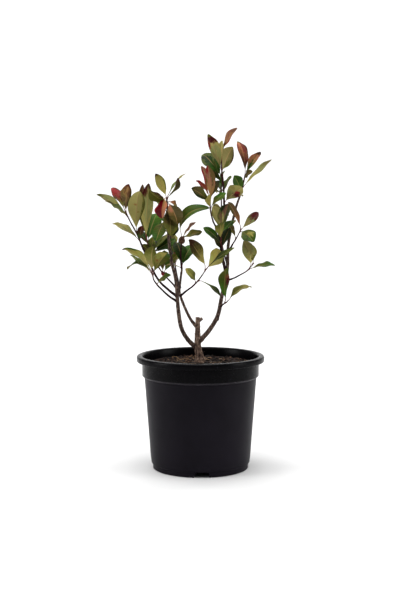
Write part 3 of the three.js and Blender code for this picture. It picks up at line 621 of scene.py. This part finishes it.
class LeafPaint:
    """Leaf materials, one for each mixed tint, numbered as a piece's slots."""

    def __init__(self):
        self.materials = []
        self.numbers = {}

    def slot(self, tint, step, marks):
        foot, tip, blotch = (TINTS[name] for name in tint)
        if step == "blotch":
            colour = mixed(foot, blotch, 0.6)
        elif step == "rib":
            colour = mixed(mixed(foot, tip, 0.4), RIB, 0.55)
        else:
            colour = mixed(foot, tip, step / TINT_STEPS)
        for name, strength in marks:
            colour = mixed(colour, TINTS[name], strength)
        colour = [255 * (c / 255) ** TINT_DEPTH for c in colour]
        rounded = tuple(TINT_GRAIN * round(c / TINT_GRAIN) for c in colour)
        if rounded not in self.numbers:
            self.numbers[rounded] = len(self.materials)
            name = "leaf_" + "_".join(f"{c:03d}" for c in rounded)
            self.materials.append(leaf_material(name, linear(rounded)))
        return self.numbers[rounded]


# ---- pot and soil ----
def lathe(profile, sides):
    """A closed form turned about Z from points (radius, height), first and last on the axis."""
    vertices = [(0, 0, profile[0][1])]
    for radius, height in profile[1:-1]:
        for k in range(sides):
            angle = 2 * pi * k / sides
            vertices.append((radius * cos(angle), radius * sin(angle), height))
    vertices.append((0, 0, profile[-1][1]))
    rings = len(profile) - 2
    faces = []
    for k in range(sides):
        after = (k + 1) % sides
        faces.append((0, 1 + after, 1 + k))
        for r in range(rings - 1):
            a, b = 1 + r * sides + k, 1 + r * sides + after
            faces.append((a, b, b + sides, a + sides))
        top = 1 + (rings - 1) * sides
        faces.append((top + k, top + after, len(vertices) - 1))
    return vertices, faces


def arc(centre, radius, start, end, count):
    """Points (radius, height) along an arc, angles from outward, counter-clockwise."""
    angles = np.radians(np.linspace(start, end, count))
    return [(centre[0] + radius * cos(a), centre[1] + radius * sin(a)) for a in angles]


def pot_profile():
    """Points (radius, height) around the pot's cut: up its outside and down its inside."""
    height, thickness, collar_foot = POT["height"], POT["thickness"], POT["collar_foot"]
    foot, wall, collar, lip = POT["foot"], POT["wall"], POT["collar"], POT["lip"]
    lip_foot = height - POT["lip_height"]
    edge, base = FOOT["radius"], FOOT["height"]
    profile = [(0, 0), (edge - ROUNDS["foot"], 0)]
    profile += arc((edge - ROUNDS["foot"], ROUNDS["foot"]), ROUNDS["foot"], -80, 0, 5)
    profile += [(edge + 0.2, base - 1), (foot, base)]
    profile += [(foot + (wall - foot) * z / collar_foot, z) for z in WALL_RINGS]
    profile += [(wall, collar_foot - 2)]
    profile += arc((collar - ROUNDS["collar"], collar_foot + 1.6), ROUNDS["collar"], -60, 0, 5)
    profile += [(collar, lip_foot - 1), (collar + 0.8, lip_foot)]
    profile += arc((lip - ROUNDS["lip_foot"], lip_foot + ROUNDS["lip_foot"]),
                   ROUNDS["lip_foot"], -85, 0, 5)
    profile += arc((lip - ROUNDS["lip"], height - ROUNDS["lip"] - 0.1), ROUNDS["lip"], 5, 80, 8)
    profile += [(lip - 6.5, height)]
    profile += arc((POT["mouth"] + 2.2, height - ROUNDS["mouth"]), ROUNDS["mouth"], 100, 170, 7)
    profile += [
        (collar - thickness, lip_foot - 3), (collar - thickness, collar_foot + 2),
        (wall - thickness, collar_foot - 3), (foot - thickness, base + thickness),
        (0, base + thickness),
    ]
    return profile


def notch_cutters():
    """One wedge for each drainage slot, wider toward the floor."""
    cutters = Shape()
    half, top_half, rise = NOTCH["width"] / 2, NOTCH["top_width"] / 2, NOTCH["height"]
    deep = NOTCH["depth"] / half
    for i in range(NOTCH["count"]):
        turn = 2 * pi * i / NOTCH["count"]
        out = np.array([sin(turn), -cos(turn), 0])
        along = np.array([cos(turn), sin(turn), 0])
        corners = []
        for z, wide in ((-rise, 2 * half - top_half), (rise, top_half)):
            for side, far in ((-1, wide), (1, wide), (1, -wide), (-1, -wide)):
                corners.append(out * (FOOT["radius"] + deep * far)
                               + along * (side * wide + NOTCH["shift"]) + np.array([0, 0, z]))
        cutters.add(corners, ring_faces(2, 4), 0)
    return cutters.build("notch_cutters", [])


def build_pot():
    shape = Shape()
    vertices, faces = lathe(pot_profile(), POT_SIDES)
    tops = np.array([max(vertices[v][2] for v in face) for face in faces]) - POT["collar_foot"]
    # The collar's lower edge carries a pale painted highlight line; above it the plastic is
    # smoother than the wall.
    shape.add(vertices, faces, [int(k) for k in np.digitize(tops, (-1, 1.7))])
    pot = shape.build("pot_body", [pot_material(name) for name in POT_LOOKS], sharp=POT_SHARP)
    cutter = notch_cutters()
    cut = pot.modifiers.new("notches", "BOOLEAN")
    cut.operation = "DIFFERENCE"
    cut.solver = "EXACT"
    cut.object = cutter
    apply_modifiers(pot)
    bpy.data.objects.remove(cutter)
    pot.data.set_sharp_from_angle(angle=radians(POT_SHARP))
    return pot


def apply_modifiers(piece):
    """Swaps a piece's mesh for the one its modifiers give."""
    graph = bpy.context.evaluated_depsgraph_get()
    done = bpy.data.meshes.new_from_object(piece.evaluated_get(graph), depsgraph=graph)
    piece.modifiers.clear()
    piece.data = done


def soil_height(x, y):
    """The soil's top, uneven but for the pad under the trunk."""
    share = (hypot(x, y) - SOIL["pad"]) / (SOIL_RADIUS - SOIL["pad"])
    share = min(max(share, 0), 1)
    bumps = rough(x / 11, y / 11, 4) + 0.6 * rough(x / 4, y / 4, 9)
    return SOIL["top"] - SOIL["fall"] * share + SOIL["bump"] * bumps * min(1, 4 * share)


def build_soil():
    gap = POT["thickness"] + SOIL["gap"]
    foot = FOOT["height"] + gap
    profile = [
        (0, foot), (POT["foot"] - gap, foot), (POT["wall"] - gap, POT["collar_foot"] - 3),
        (SOIL_RADIUS, POT["collar_foot"] + 2),
    ]
    profile += [(SOIL_RADIUS * (1 - r / SOIL_RINGS), SOIL["top"]) for r in range(SOIL_RINGS)]
    profile.append((0, SOIL["top"]))
    vertices, faces = lathe(profile, SOIL_SIDES)
    vertices = [(x, y, soil_height(x, y) if z == SOIL["top"] else z) for x, y, z in vertices]
    shape = Shape()
    shape.add(vertices, faces, 0)
    return shape.build("soil_bed", [soil_material("soil_peat")])


def soil_place(chance, reach=0.96):
    """A random place on the soil, clear of the trunk."""
    outer = SOIL_RADIUS * reach
    radius = sqrt(chance.uniform((TRUNK_CLEAR / outer) ** 2, 1)) * outer
    angle = chance.uniform(0, 2 * pi)
    return radius * cos(angle), radius * sin(angle)


def build_chips():
    """Flakes of bark and lumps of peat, each a rough prism half sunk in the soil."""
    chance = random.Random(11)
    shape = Shape()
    for _ in range(CHIPS["count"]):
        x, y = soil_place(chance)
        length = chance.uniform(*CHIPS["length"]) * chance.uniform(0.5, 1)
        width = length * chance.uniform(*CHIPS["width"])
        thick = chance.uniform(*CHIPS["thickness"])
        turn = chance.uniform(0, 2 * pi)
        tilt = chance.uniform(-CHIPS["tilt"], CHIPS["tilt"])
        corners = chance.randint(*CHIPS["corners"])
        ring = []
        for k in range(corners):
            angle = 2 * pi * (k + chance.uniform(-0.3, 0.3)) / corners
            ring.append((length / 2 * cos(angle) * chance.uniform(*CHIPS["ragged"]),
                         width / 2 * sin(angle) * chance.uniform(*CHIPS["ragged"])))
        vertices = []
        for level, shrink in ((-thick / 2, 0.9), (0, 1), (thick / 2, 0.8)):
            for u, v in ring:
                u, v = u * shrink, v * shrink
                lift = level + u * sin(tilt) + chance.uniform(-0.12, 0.12) * thick
                px = x + u * cos(turn) - v * sin(turn)
                py = y + u * sin(turn) + v * cos(turn)
                vertices.append((px, py, soil_height(x, y) + thick * 0.2 + lift))
        shape.add(vertices, ring_faces(3, corners), chance.choice(CHIPS["looks"]))
    materials = [soil_material(f"chip_{i}") for i in range(4)]
    return shape.build("bark_chips", materials, sharp=20)


def build_fibres():
    """Fine roots and straw lying on the soil."""
    chance = random.Random(29)
    shape = Shape()
    limit = POT["collar"] - 4
    for _ in range(FIBRES["count"]):
        x, y = soil_place(chance, 0.9)
        step = chance.uniform(*FIBRES["length"]) / 8
        heading = chance.uniform(0, 2 * pi)
        bend = chance.uniform(-FIBRES["bend"], FIBRES["bend"])
        points = []
        for _ in range(FIBRES["points"]):
            lift = 0.5 + 0.7 * abs(rough(x / 3, y / 3, 1))
            points.append((x, y, soil_height(x, y) + lift))
            x += step * cos(heading)
            y += step * sin(heading)
            heading += bend * step
            if not TRUNK_CLEAR <= hypot(x, y) <= limit:
                break
        if len(points) > 3:
            radii = [FIBRES["radius"] * chance.uniform(0.7, 1.2)] * len(points)
            shape.add(tube(points, radii, 5), ring_faces(len(points), 5), 0)
    return shape.build("root_fibres", [soil_material("fibre")])


# ---- limbs ----
def limb_radius(radii, distance, share):
    foot, tip = radii
    return foot + (tip - foot) * share + COLLAR_SWELL * foot * exp(-distance / COLLAR_REACH)


def bark_relief(seed, depth, node_step):
    """Fine ridges along the limb, knots and a ring at each old leaf's place."""
    def relief(point, angle, along):
        ridges = rough(3 * cos(angle), 3 * sin(angle), along / 9 + seed)
        pits = rough(point[0] / 1.7, point[1] / 1.7, point[2] / 2.4 + seed)
        knot, rest = divmod(along / node_step + rough(along / 30, seed, 0), 1)
        ring = exp(-((rest - 0.5) * node_step / 1.3) ** 2)
        facing = 0.5 + 0.5 * cos(angle - 2.4 * knot)
        return 1 + depth * (0.9 * ridges + 0.7 * pits) + KNOT * ring * facing
    return relief


def add_limb(shape, curve, kind, radius, slot, seed, fewest=6):
    """A limb along a curve, in at least the fewest rings; radius(share, distance) sizes it."""
    sides, step, depth, node_step = LIMB_MESHES[kind]
    rings = max(fewest, round(curve.length / step))
    shares = np.linspace(0, 1, rings)
    points = [curve.at(curve.parameter(share)) for share in shares]
    radii = [radius(share, share * curve.length) for share in shares]
    shape.add(tube(points, radii, sides, bark_relief(seed, depth, node_step)),
              ring_faces(rings, sides), slot)


def add_spur(shape, ends, radius, slots, seed):
    """A pruned stub with a pale, rough cut face."""
    curve = Curve(ends)
    rings, sides = SPUR_RINGS, SPUR_SIDES
    shares = np.linspace(0, 1, rings)
    points = [curve.at(share) for share in shares]
    radii = [radius * (1.05 - 0.1 * share) for share in shares]
    faces = ring_faces(rings, sides, caps=(True, False))
    last = (rings - 1) * sides
    vertices = tube(points, radii, sides, bark_relief(seed, 0.08, 40))
    vertices.append(points[-1] + 0.25 * curve.tangent(1))
    cap = [(last + k, last + (k + 1) % sides, rings * sides) for k in range(sides)]
    shape.add(vertices, faces + cap, [slots[0]] * len(faces) + [slots[1]] * len(cap))


def build_limbs(curves):
    """The trunk, the boughs with the branches, and the twigs, as three pieces."""
    old, grown, young, cut = (bark_material(name) for name in (
        "bark_old", "bark_grown", "bark_young", "cut_wood"))
    kinds = {"trunk": Shape(), "bough": Shape(), "twig": Shape()}
    materials = {"trunk": [old, cut], "bough": [grown, young, cut], "twig": [young]}
    nodes = {kind: [] for kind in kinds}
    for number, (name, (radii, _)) in enumerate(LIMBS.items()):
        slot = int(name.startswith("branch"))
        kind = "bough" if slot else name.split("_")[0]
        nodes[kind].append(name)
        add_limb(kinds[kind], curves[name], kind,
                 lambda share, distance: limb_radius(radii, distance, share), slot, 7.3 * number)
    for number, (name, ends, radius) in enumerate(SPURS):
        kind = name.split("_")[0]
        add_spur(kinds[kind], ends, radius, (0, len(materials[kind]) - 1), 40 + number)
    for kind, shape in kinds.items():
        piece = shape.build(f"{kind}_bark", materials[kind], sharp=60)
        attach(piece, "root")
        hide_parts(*nodes[kind])


# ---- leaves ----
def drawn(draw, size):
    middle, spread = size
    return middle + spread * draw()


def make_leaf(curve, share, to_tip, facing, length, draw, width=None, droop=None, tint="green"):
    """A leaf's place, axes and sizes, by the same rule as the solids."""
    rolls = [drawn(draw, DROOP), drawn(draw, BLADE_WIDTH), drawn(draw, FOLD)]
    droop = radians(rolls[0] if droop is None else droop)
    upper = unit(facing - to_tip * facing.dot(to_tip))
    axis = to_tip * cos(droop / 2) + upper * sin(droop / 2)
    up = upper * cos(droop / 2) - to_tip * sin(droop / 2)
    along = curve.tangent(share)
    stalk = unit(along + (axis - along) * STALK_LEAN)
    root = curve.at(share)
    return {
        "root": root, "stalk": stalk, "along": along,
        "foot": root + stalk * (STALK_SHARE * length + STALK_EXTRA),
        "axis": axis, "up": up, "side": np.cross(axis, up), "length": length,
        "width": rolls[1] * length if width is None else width, "droop": droop,
        "fold": radians(rolls[2]), "tint": tint,
    }


def listed_leaf(curve, row, draw):
    """A leaf listed as it is seen from the front."""
    share, clock, near, length, width, face, tint, droop = (*row, None)[:8]
    clock, near, face = radians(clock), radians(near), radians(face)
    to_tip = np.array([sin(clock) * cos(near), -sin(near), cos(clock) * cos(near)])
    front = np.array([0.0, -1.0, 0.0])
    front = unit(front - to_tip * front.dot(to_tip))
    sideways = np.cross(to_tip, front)
    if sideways.dot(curve.tangent(share)) < 0:
        sideways = -sideways
    facing = front * cos(face) + sideways * sin(face)
    leaf = make_leaf(curve, share, to_tip, facing, length, draw, width, droop, tint)
    leaf["shown_under"] = cos(face) < 0
    return leaf


def ruled_leaf(curve, share, turn, spread, length, draw):
    """A leaf that the rule adds, by its turn round the stem and its angle from it."""
    along = curve.tangent(share)
    right = unit(np.cross([0, 1, 0], along))
    away = np.cross(along, right)
    outward = right * cos(turn) + away * sin(turn)
    to_tip = along * cos(spread) + outward * sin(spread)
    leaf = make_leaf(curve, share, to_tip, along, length, draw)
    leaf["shown_under"] = False
    return leaf


def midrib(leaf, share):
    bend = leaf["droop"] * share
    size = leaf["length"] / leaf["droop"]
    point = leaf["foot"] + leaf["axis"] * size * sin(bend) + leaf["up"] * size * (cos(bend) - 1)
    lift = leaf["up"] * cos(bend) + leaf["axis"] * sin(bend)
    return point, lift


def half_width(leaf, share):
    foot, tip = BLADE_FULLNESS
    fullness = foot + (tip - foot) * share
    return leaf["width"] / 2 * sin(pi * share ** BLADE_SKEW) ** fullness


def blade_samples(leaf):
    samples = []
    for share in (0.3, 0.5, 0.7, 0.85, 1):
        point, lift = midrib(leaf, share)
        samples.append(point)
        if share < 1:
            half = half_width(leaf, share)
            rise = lift * half * sin(leaf["fold"])
            reach = leaf["side"] * half * cos(leaf["fold"])
            samples += [point + reach + rise, point - reach + rise]
    return samples


def covers_sky(samples):
    """Whether any of the places hides one of the gaps from the front."""
    _, place, eye = CAMERA_PLACE
    nearer = -place / (samples[:, 1] - place)
    across = samples[:, 0] * nearer
    height = eye + (samples[:, 2] - eye) * nearer
    return any(((across > left) & (across < right) & (height > low) & (height < high)).any()
               for left, right, low, high in SKY)


def filling_leaves(name, curve, draw, taken):
    """Leaves up the stem in a golden spiral, where there is room and the space allows."""
    _, seed, wanted, (left, right, low, high), _, listed = SHOOTS[name]
    chance = random.Random(seed)
    added = []
    for attempt in range(wanted * FILLING_TRIES):
        if len(added) == wanted:
            break
        rise = (len(added) + 0.5) / wanted
        turn = radians(GOLDEN_TURN * attempt + FILLING["spread"] * draw())
        spread = radians(FILLING["open"] - FILLING["close"] * rise + FILLING["spread"] * draw())
        length = FILLING["length"] - FILLING["shrink"] * rise + FILLING["spread"] / 2 * draw()
        share = FILLING["lowest"] + (1 - FILLING["lowest"]) * rise
        leaf = ruled_leaf(curve, share, turn, spread, length, draw)
        hidden = not listed or sin(turn) > FAR_SIDE
        samples = np.array(blade_samples(leaf))
        inside = ((samples[:, 0] > left) & (samples[:, 0] < right)
                  & (samples[:, 2] > low) & (samples[:, 2] < high)).all()
        points = np.array([point for point, _ in taken])
        gaps = np.array([gap for _, gap in taken])
        apart = np.linalg.norm(samples[:, None] - points[None], axis=2)
        if hidden and inside and not covers_sky(samples) and (apart > gaps[None]).all():
            young = share > YOUNG["above"] and chance.random() < YOUNG["share"]
            leaf["tint"] = chance.choice(YOUNG_TINTS if young else OLD_TINTS)
            added.append(leaf)
            taken += [(sample, LEAF_GAP) for sample in samples]
    return added


def tint_names(text, on_right):
    """Tint names at the foot, the tip and in blotches of one half of a leaf, as it is seen."""
    halves = text.split("|")
    names = halves[-1 if on_right else 0].split("/")
    foot = names[0]
    tip = names[1] if len(names) > 1 else foot
    return foot, tip, names[2] if len(names) > 2 else None


def blade_sides(leaf, columns, chance):
    """A blade's upper and under points, row by row, and each one's share of its length."""
    fold = leaf["fold"]
    waves = [(chance.uniform(*WAVE_CYCLES), chance.uniform(0, 6.28)) for _ in range(2)]
    curl = chance.uniform(*CURL_RANGE) * TIP_CURL * leaf["length"]
    start, end = BLADE_ENDS
    upper, lower, shares = [], [], []
    for i in range(BLADE_ROWS):
        t = start + (end - start) * i / (BLADE_ROWS - 1)
        for v in columns:
            sweep = VEIN_SWEEP * abs(v) * sin(pi * t) * (1 - VEIN_SWEEP_FADE * t)
            s = min(t + sweep, BLADE_LAST)
            point, lift = midrib(leaf, s)
            half = half_width(leaf, s)
            x = v * half
            if abs(v) == 1:
                x += copysign(TOOTH * (i % 2) * min(1, half / NARROW["tooth"]), v)
            rise = half * sin(fold) * (abs(v) - BLADE_HOLLOW * v * v)
            cycles, phase = waves[v > 0]
            wave = MARGIN_WAVE * v * v * sin(2 * pi * cycles * s + phase)
            wave *= min(1, half / NARROW["wave"])
            bulge = VEIN_RELIEF * sin(pi * ((t * VEINS) % 1)) ** 2
            bulge *= 4 * abs(v) * (1 - abs(v)) * min(1, half / NARROW["vein"])
            tip_bend = curl * max(0, (s - CURL_START) / (1 - CURL_START)) ** 2
            rise += wave + bulge - tip_bend
            base = point + leaf["side"] * x * cos(fold)
            rib = RIB_RELIEF * (1 - RIB_FADE * s) * max(0, 1 - abs(v) / RIB_WIDTH)
            upper.append(base + lift * (rise + RIB_ABOVE * rib))
            lower.append(base + lift * (rise - BLADE_THICKNESS - rib))
            shares.append(s)
    return upper, lower, shares


def blade_look(leaf, number, s, across, blotched):
    """The tint step and the marks at a place on a blade."""
    rightward = 1 if leaf["side"][0] > 0 else -1
    spot = rough(PATCHES[0] * s, PATCHES[1] * across, number * PATCHES[2])
    fine = rough(GRAIN[0] * s, GRAIN[1] * across, number * GRAIN[2])
    step = round(TINT_STEPS * min(max((s - 0.2) / 0.6 + 0.55 * spot + 0.2 * fine, 0), 1))
    if abs(across) < RIB_PAINTED:
        step = "rib"
    elif blotched and spot + 0.45 * abs(across) + 0.35 * s + 0.25 * fine > BLOTCH_AT:
        step = "blotch"
    marks = []
    for name, along, place, *reach in leaf.get("marks", []):
        apart = hypot((s - along) / reach[0], (rightward * across - place) / reach[1])
        strength = round(MARK_STEPS * min(1, 1.8 - 1.5 * apart - fine)) / MARK_STEPS
        if strength > 0:
            marks.append((name, strength))
    return step, marks


def add_blade(shape, leaf, paint, number):
    """One leaf's blade: both sides, with rib, side veins, toothed and waved margin."""
    columns = [-v for v in reversed(BLADE_COLUMNS[1:])] + list(BLADE_COLUMNS)
    across = len(columns)
    upper, lower, shares = blade_sides(leaf, columns, random.Random(number))
    tints = [tint_names(leaf["tint"], leaf["side"][0] * half > 0) for half in (-1, 1)]
    faces, slots = [], []
    size = len(upper)
    for i in range(BLADE_ROWS - 1):
        for j in range(across - 1):
            a = i * across + j
            quad = (a, a + 1, a + 1 + across, a + across)
            middle = (columns[j] + columns[j + 1]) / 2
            tint = tints[middle > 0]
            step, marks = blade_look(leaf, number, shares[a], middle, tint[2])
            for under in (False, True):
                faces.append(tuple(size + k for k in reversed(quad)) if under else quad)
                side = paint_side(tint, under, leaf["shown_under"])
                slots.append(paint.slot(side, step, marks))
    for i in range(BLADE_ROWS - 1):
        for j in (0, across - 1):
            a, b = i * across + j, (i + 1) * across + j
            faces.append((a, b, size + b, size + a) if j == 0 else (b, a, size + a, size + b))
            slots.append(slots[2 * (i * (across - 1) + min(j, across - 2))])
    for j in range(across - 1):
        end = (BLADE_ROWS - 1) * across + j
        faces.append((j + 1, j, size + j, size + j + 1))
        faces.append((end, end + 1, size + end + 1, size + end))
        slots += [slots[0], slots[0]]
    shape.add(upper + lower, faces, slots)


def paint_side(tint, under, shown_under):
    """The names for a leaf's side: the listed ones on the side that shows from the front."""
    foot, tip, blotch = tint
    names = foot, tip, blotch or foot
    if under == shown_under:
        return names
    other = OTHER_SIDE["darker" if shown_under else "lighter"]
    return tuple(other.get(name, name) for name in names)


def add_stalk(shape, leaf, slots):
    """A leaf's stalk, bent from the stem into the blade's rib, with a bud above its root."""
    root, foot = leaf["root"], leaf["foot"]
    reach = np.linalg.norm(foot - root)
    end = foot + leaf["axis"] * leaf["length"] * 0.03 - leaf["up"] * 0.3
    controls = [root, root + leaf["stalk"] * reach * 0.4, foot - leaf["axis"] * reach * 0.3, end]
    points, radii = [], []
    for i in range(STALK["rings"]):
        t = i / (STALK["rings"] - 1)
        weights = [(1 - t) ** 3, 3 * t * (1 - t) ** 2, 3 * t * t * (1 - t), t ** 3]
        points.append(sum(w * c for w, c in zip(weights, controls)))
        swell = STALK["swell"] * exp(-t * reach / STALK["swell_reach"])
        radii.append(STALK["radius"] - STALK["taper"] * t + swell)
    shape.add(tube(points, radii, STALK["sides"]), ring_faces(STALK["rings"], STALK["sides"]),
              slots["stalk"])
    beside = root + leaf["along"] * 2.2 + leaf["stalk"] * 1.6
    add_small_bud(shape, beside, leaf["along"], slots["bud"])


def add_small_bud(shape, centre, along, slot):
    rings, sides = BUD["rings"], BUD["sides"]
    steps = [i / (rings - 1) for i in range(rings)]
    points = [centre + along * (BUD["length"] * t - BUD["below"]) for t in steps]
    radii = [BUD["radius"] * sin(pi * min(0.97, 0.18 + 0.8 * t)) ** 0.8 for t in steps]
    shape.add(tube(points, radii, sides), ring_faces(rings, sides), slot)


def add_large_bud(shape, curve, slot):
    """The egg-shaped bud at a stem's tip, wrapped in overlapping scales."""
    _, radius, half = LARGE_BUD
    rings, sides = 26, 32
    heights = [-cos(pi * (0.03 + 0.94 * i / (rings - 1))) for i in range(rings)]
    points = [curve.at(1) + curve.tangent(1) * half * height for height in heights]
    radii = [radius * sqrt(1 - height ** 2) * (1 - 0.18 * height) for height in heights]

    def scales(_, angle, along):
        height = heights[0] + along / half
        return 0.955 + 0.09 * ((angle / pi + 2.6 * height) % 1)

    shape.add(tube(points, radii, sides, scales), ring_faces(rings, sides), slot)


def limb_places(curves):
    """Places along the limbs that filling leaves keep clear of, each with its gap."""
    taken = []
    for name, (radii, _) in LIMBS.items():
        count = ceil(curves[name].length / LIMB_KEEP)
        for i in range(count + 1):
            gap = limb_radius(radii, FAR_ALONG, i / count) + LIMB_KEEP
            taken.append((curves[name].at(i / count), gap))
    return taken


def build_shoots(curves):
    """Every shoot's stem, stalks and leaves, leaves joined by region and stems in one piece."""
    taken = limb_places(curves)
    grown = []
    for name, (on, seed, _, _, path, rows) in SHOOTS.items():
        first = curves[on].at(1) + curves[on].tangent(1) * LIMB_GAP
        curve = Curve([first, *path])
        draw = seeded_draws(seed)
        leaves = [listed_leaf(curve, row, draw) for row in rows]
        for place, leaf in enumerate(leaves):
            leaf["marks"] = MARKS.get((name, place), [])
            taken += [(sample, LEAF_GAP) for sample in blade_samples(leaf)]
        grown.append((name, curve, draw, leaves))
    stems = Shape()
    pieces = {name: (Shape(), LeafPaint()) for name in LEAF_PIECES}
    slots = {"stem": 0, "stalk": 1, "bud": 2}
    number = 0
    for order, (name, curve, draw, leaves) in enumerate(grown):
        leaves = leaves + filling_leaves(name, curve, draw, taken)
        (_, foot), _ = LIMBS[SHOOTS[name][0]]
        add_limb(stems, curve, "stem", lambda share, _: foot * (1 - (1 - STEM_TIP) * share),
                 slots["stem"], 60 + order, fewest=8)
        if name == LARGE_BUD[0]:
            add_large_bud(stems, curve, slots["bud"])
        else:
            tip, along = curve.at(1), curve.tangent(1)
            add_small_bud(stems, tip + along * 1.4, along, slots["bud"])
        region = next(n for n, members in LEAF_PIECES.items() if name in members)
        shape, paint = pieces[region]
        for leaf in leaves:
            number += 1
            add_stalk(stems, leaf, slots)
            add_blade(shape, leaf, paint, number)
    materials = [bark_material(name) for name in ("shoot_bark", "stalk_skin", "bud_scales")]
    stem_piece = stems.build("shoot_stems", materials, sharp=60)
    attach(stem_piece, "root")
    for name, (shape, paint) in pieces.items():
        piece = shape.build(name, paint.materials, sharp=75)
        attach(piece, "root")
        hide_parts(*[f"shoot_{member}" for member in LEAF_PIECES[name]])


# ---- studio ----
def build_camera():
    data = bpy.data.cameras.new("camera")
    data.sensor_fit = "AUTO"
    data.sensor_width = SENSOR
    data.lens = FOCAL_PIXELS / FRAME_PIXELS * SENSOR
    data.clip_end = 50
    camera = linked("camera", data)
    camera.location = Vector(CAMERA_PLACE) / METRE
    camera.rotation_euler = (radians(90 - CAMERA_DOWN), 0, 0)
    bpy.context.scene.camera = camera


def add_area(name, place, target, size, power):
    data = bpy.data.lights.new(name, "AREA")
    data.shape = "RECTANGLE"
    data.size, data.size_y = size
    data.energy = power
    light = linked(name, data)
    light.location = place
    aim = Vector(target) - light.location
    light.rotation_euler = aim.to_track_quat("-Z", "Y").to_euler()


def build_floor():
    """A pale floor that sweeps up behind."""
    back, sweep = FLOOR["back"], FLOOR["sweep"]
    profile = [(FLOOR["front"], 0), (back - sweep, 0)]
    profile += [(back - sweep * (1 - sin(a)), sweep * (1 - cos(a)))
                for a in np.radians(np.linspace(7.5, 90, 12))]
    profile.append((back, FLOOR["top"]))
    half = FLOOR["half"]
    vertices = [(x * METRE, y * METRE, z * METRE) for y, z in profile for x in (-half, half)]
    faces = [(2 * i, 2 * i + 1, 2 * i + 3, 2 * i + 2) for i in range(len(profile) - 1)]
    shape = Shape()
    shape.add(vertices, faces, 0)
    paper = Shader("floor_paper", (FLOOR["grey"],) * 3, 0.9, specular=0.1)
    floor = shape.build("floor", [paper.material])


def build_surround():
    """A white surround, darker on the viewer's side, as rooms for such photos are."""
    world = bpy.data.worlds.new("surround")
    world.use_nodes = True
    tree = world.node_tree
    background = tree.nodes["Background"].inputs
    background["Color"].default_value = (1, 1, 1, 1)
    where = add_node(tree, "ShaderNodeTexCoord")
    apart = add_node(tree, "ShaderNodeSeparateXYZ")
    dimming = add_node(tree, "ShaderNodeMapRange", **SURROUND)
    tree.links.new(where.outputs["Generated"], apart.inputs["Vector"])
    tree.links.new(apart.outputs["Y"], dimming.inputs["Value"])
    tree.links.new(dimming.outputs["Result"], background["Strength"])
    bpy.context.scene.world = world
    bpy.context.scene.view_settings.view_transform = "Standard"


# ---- assembly ----
build_camera()
build_floor()
build_surround()
for area in LIGHTS:
    add_area(*area)

pot_piece = build_pot()
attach(pot_piece, "root")
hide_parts("pot")

soil_piece = build_soil()
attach(soil_piece, "root")
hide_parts("soil")
for dressing in (build_chips(), build_fibres()):
    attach(dressing, "root")

limb_curves = {name: Curve(path) for name, (_, path) in LIMBS.items()}
build_limbs(limb_curves)
build_shoots(limb_curves)

bpy.context.view_layer.update()
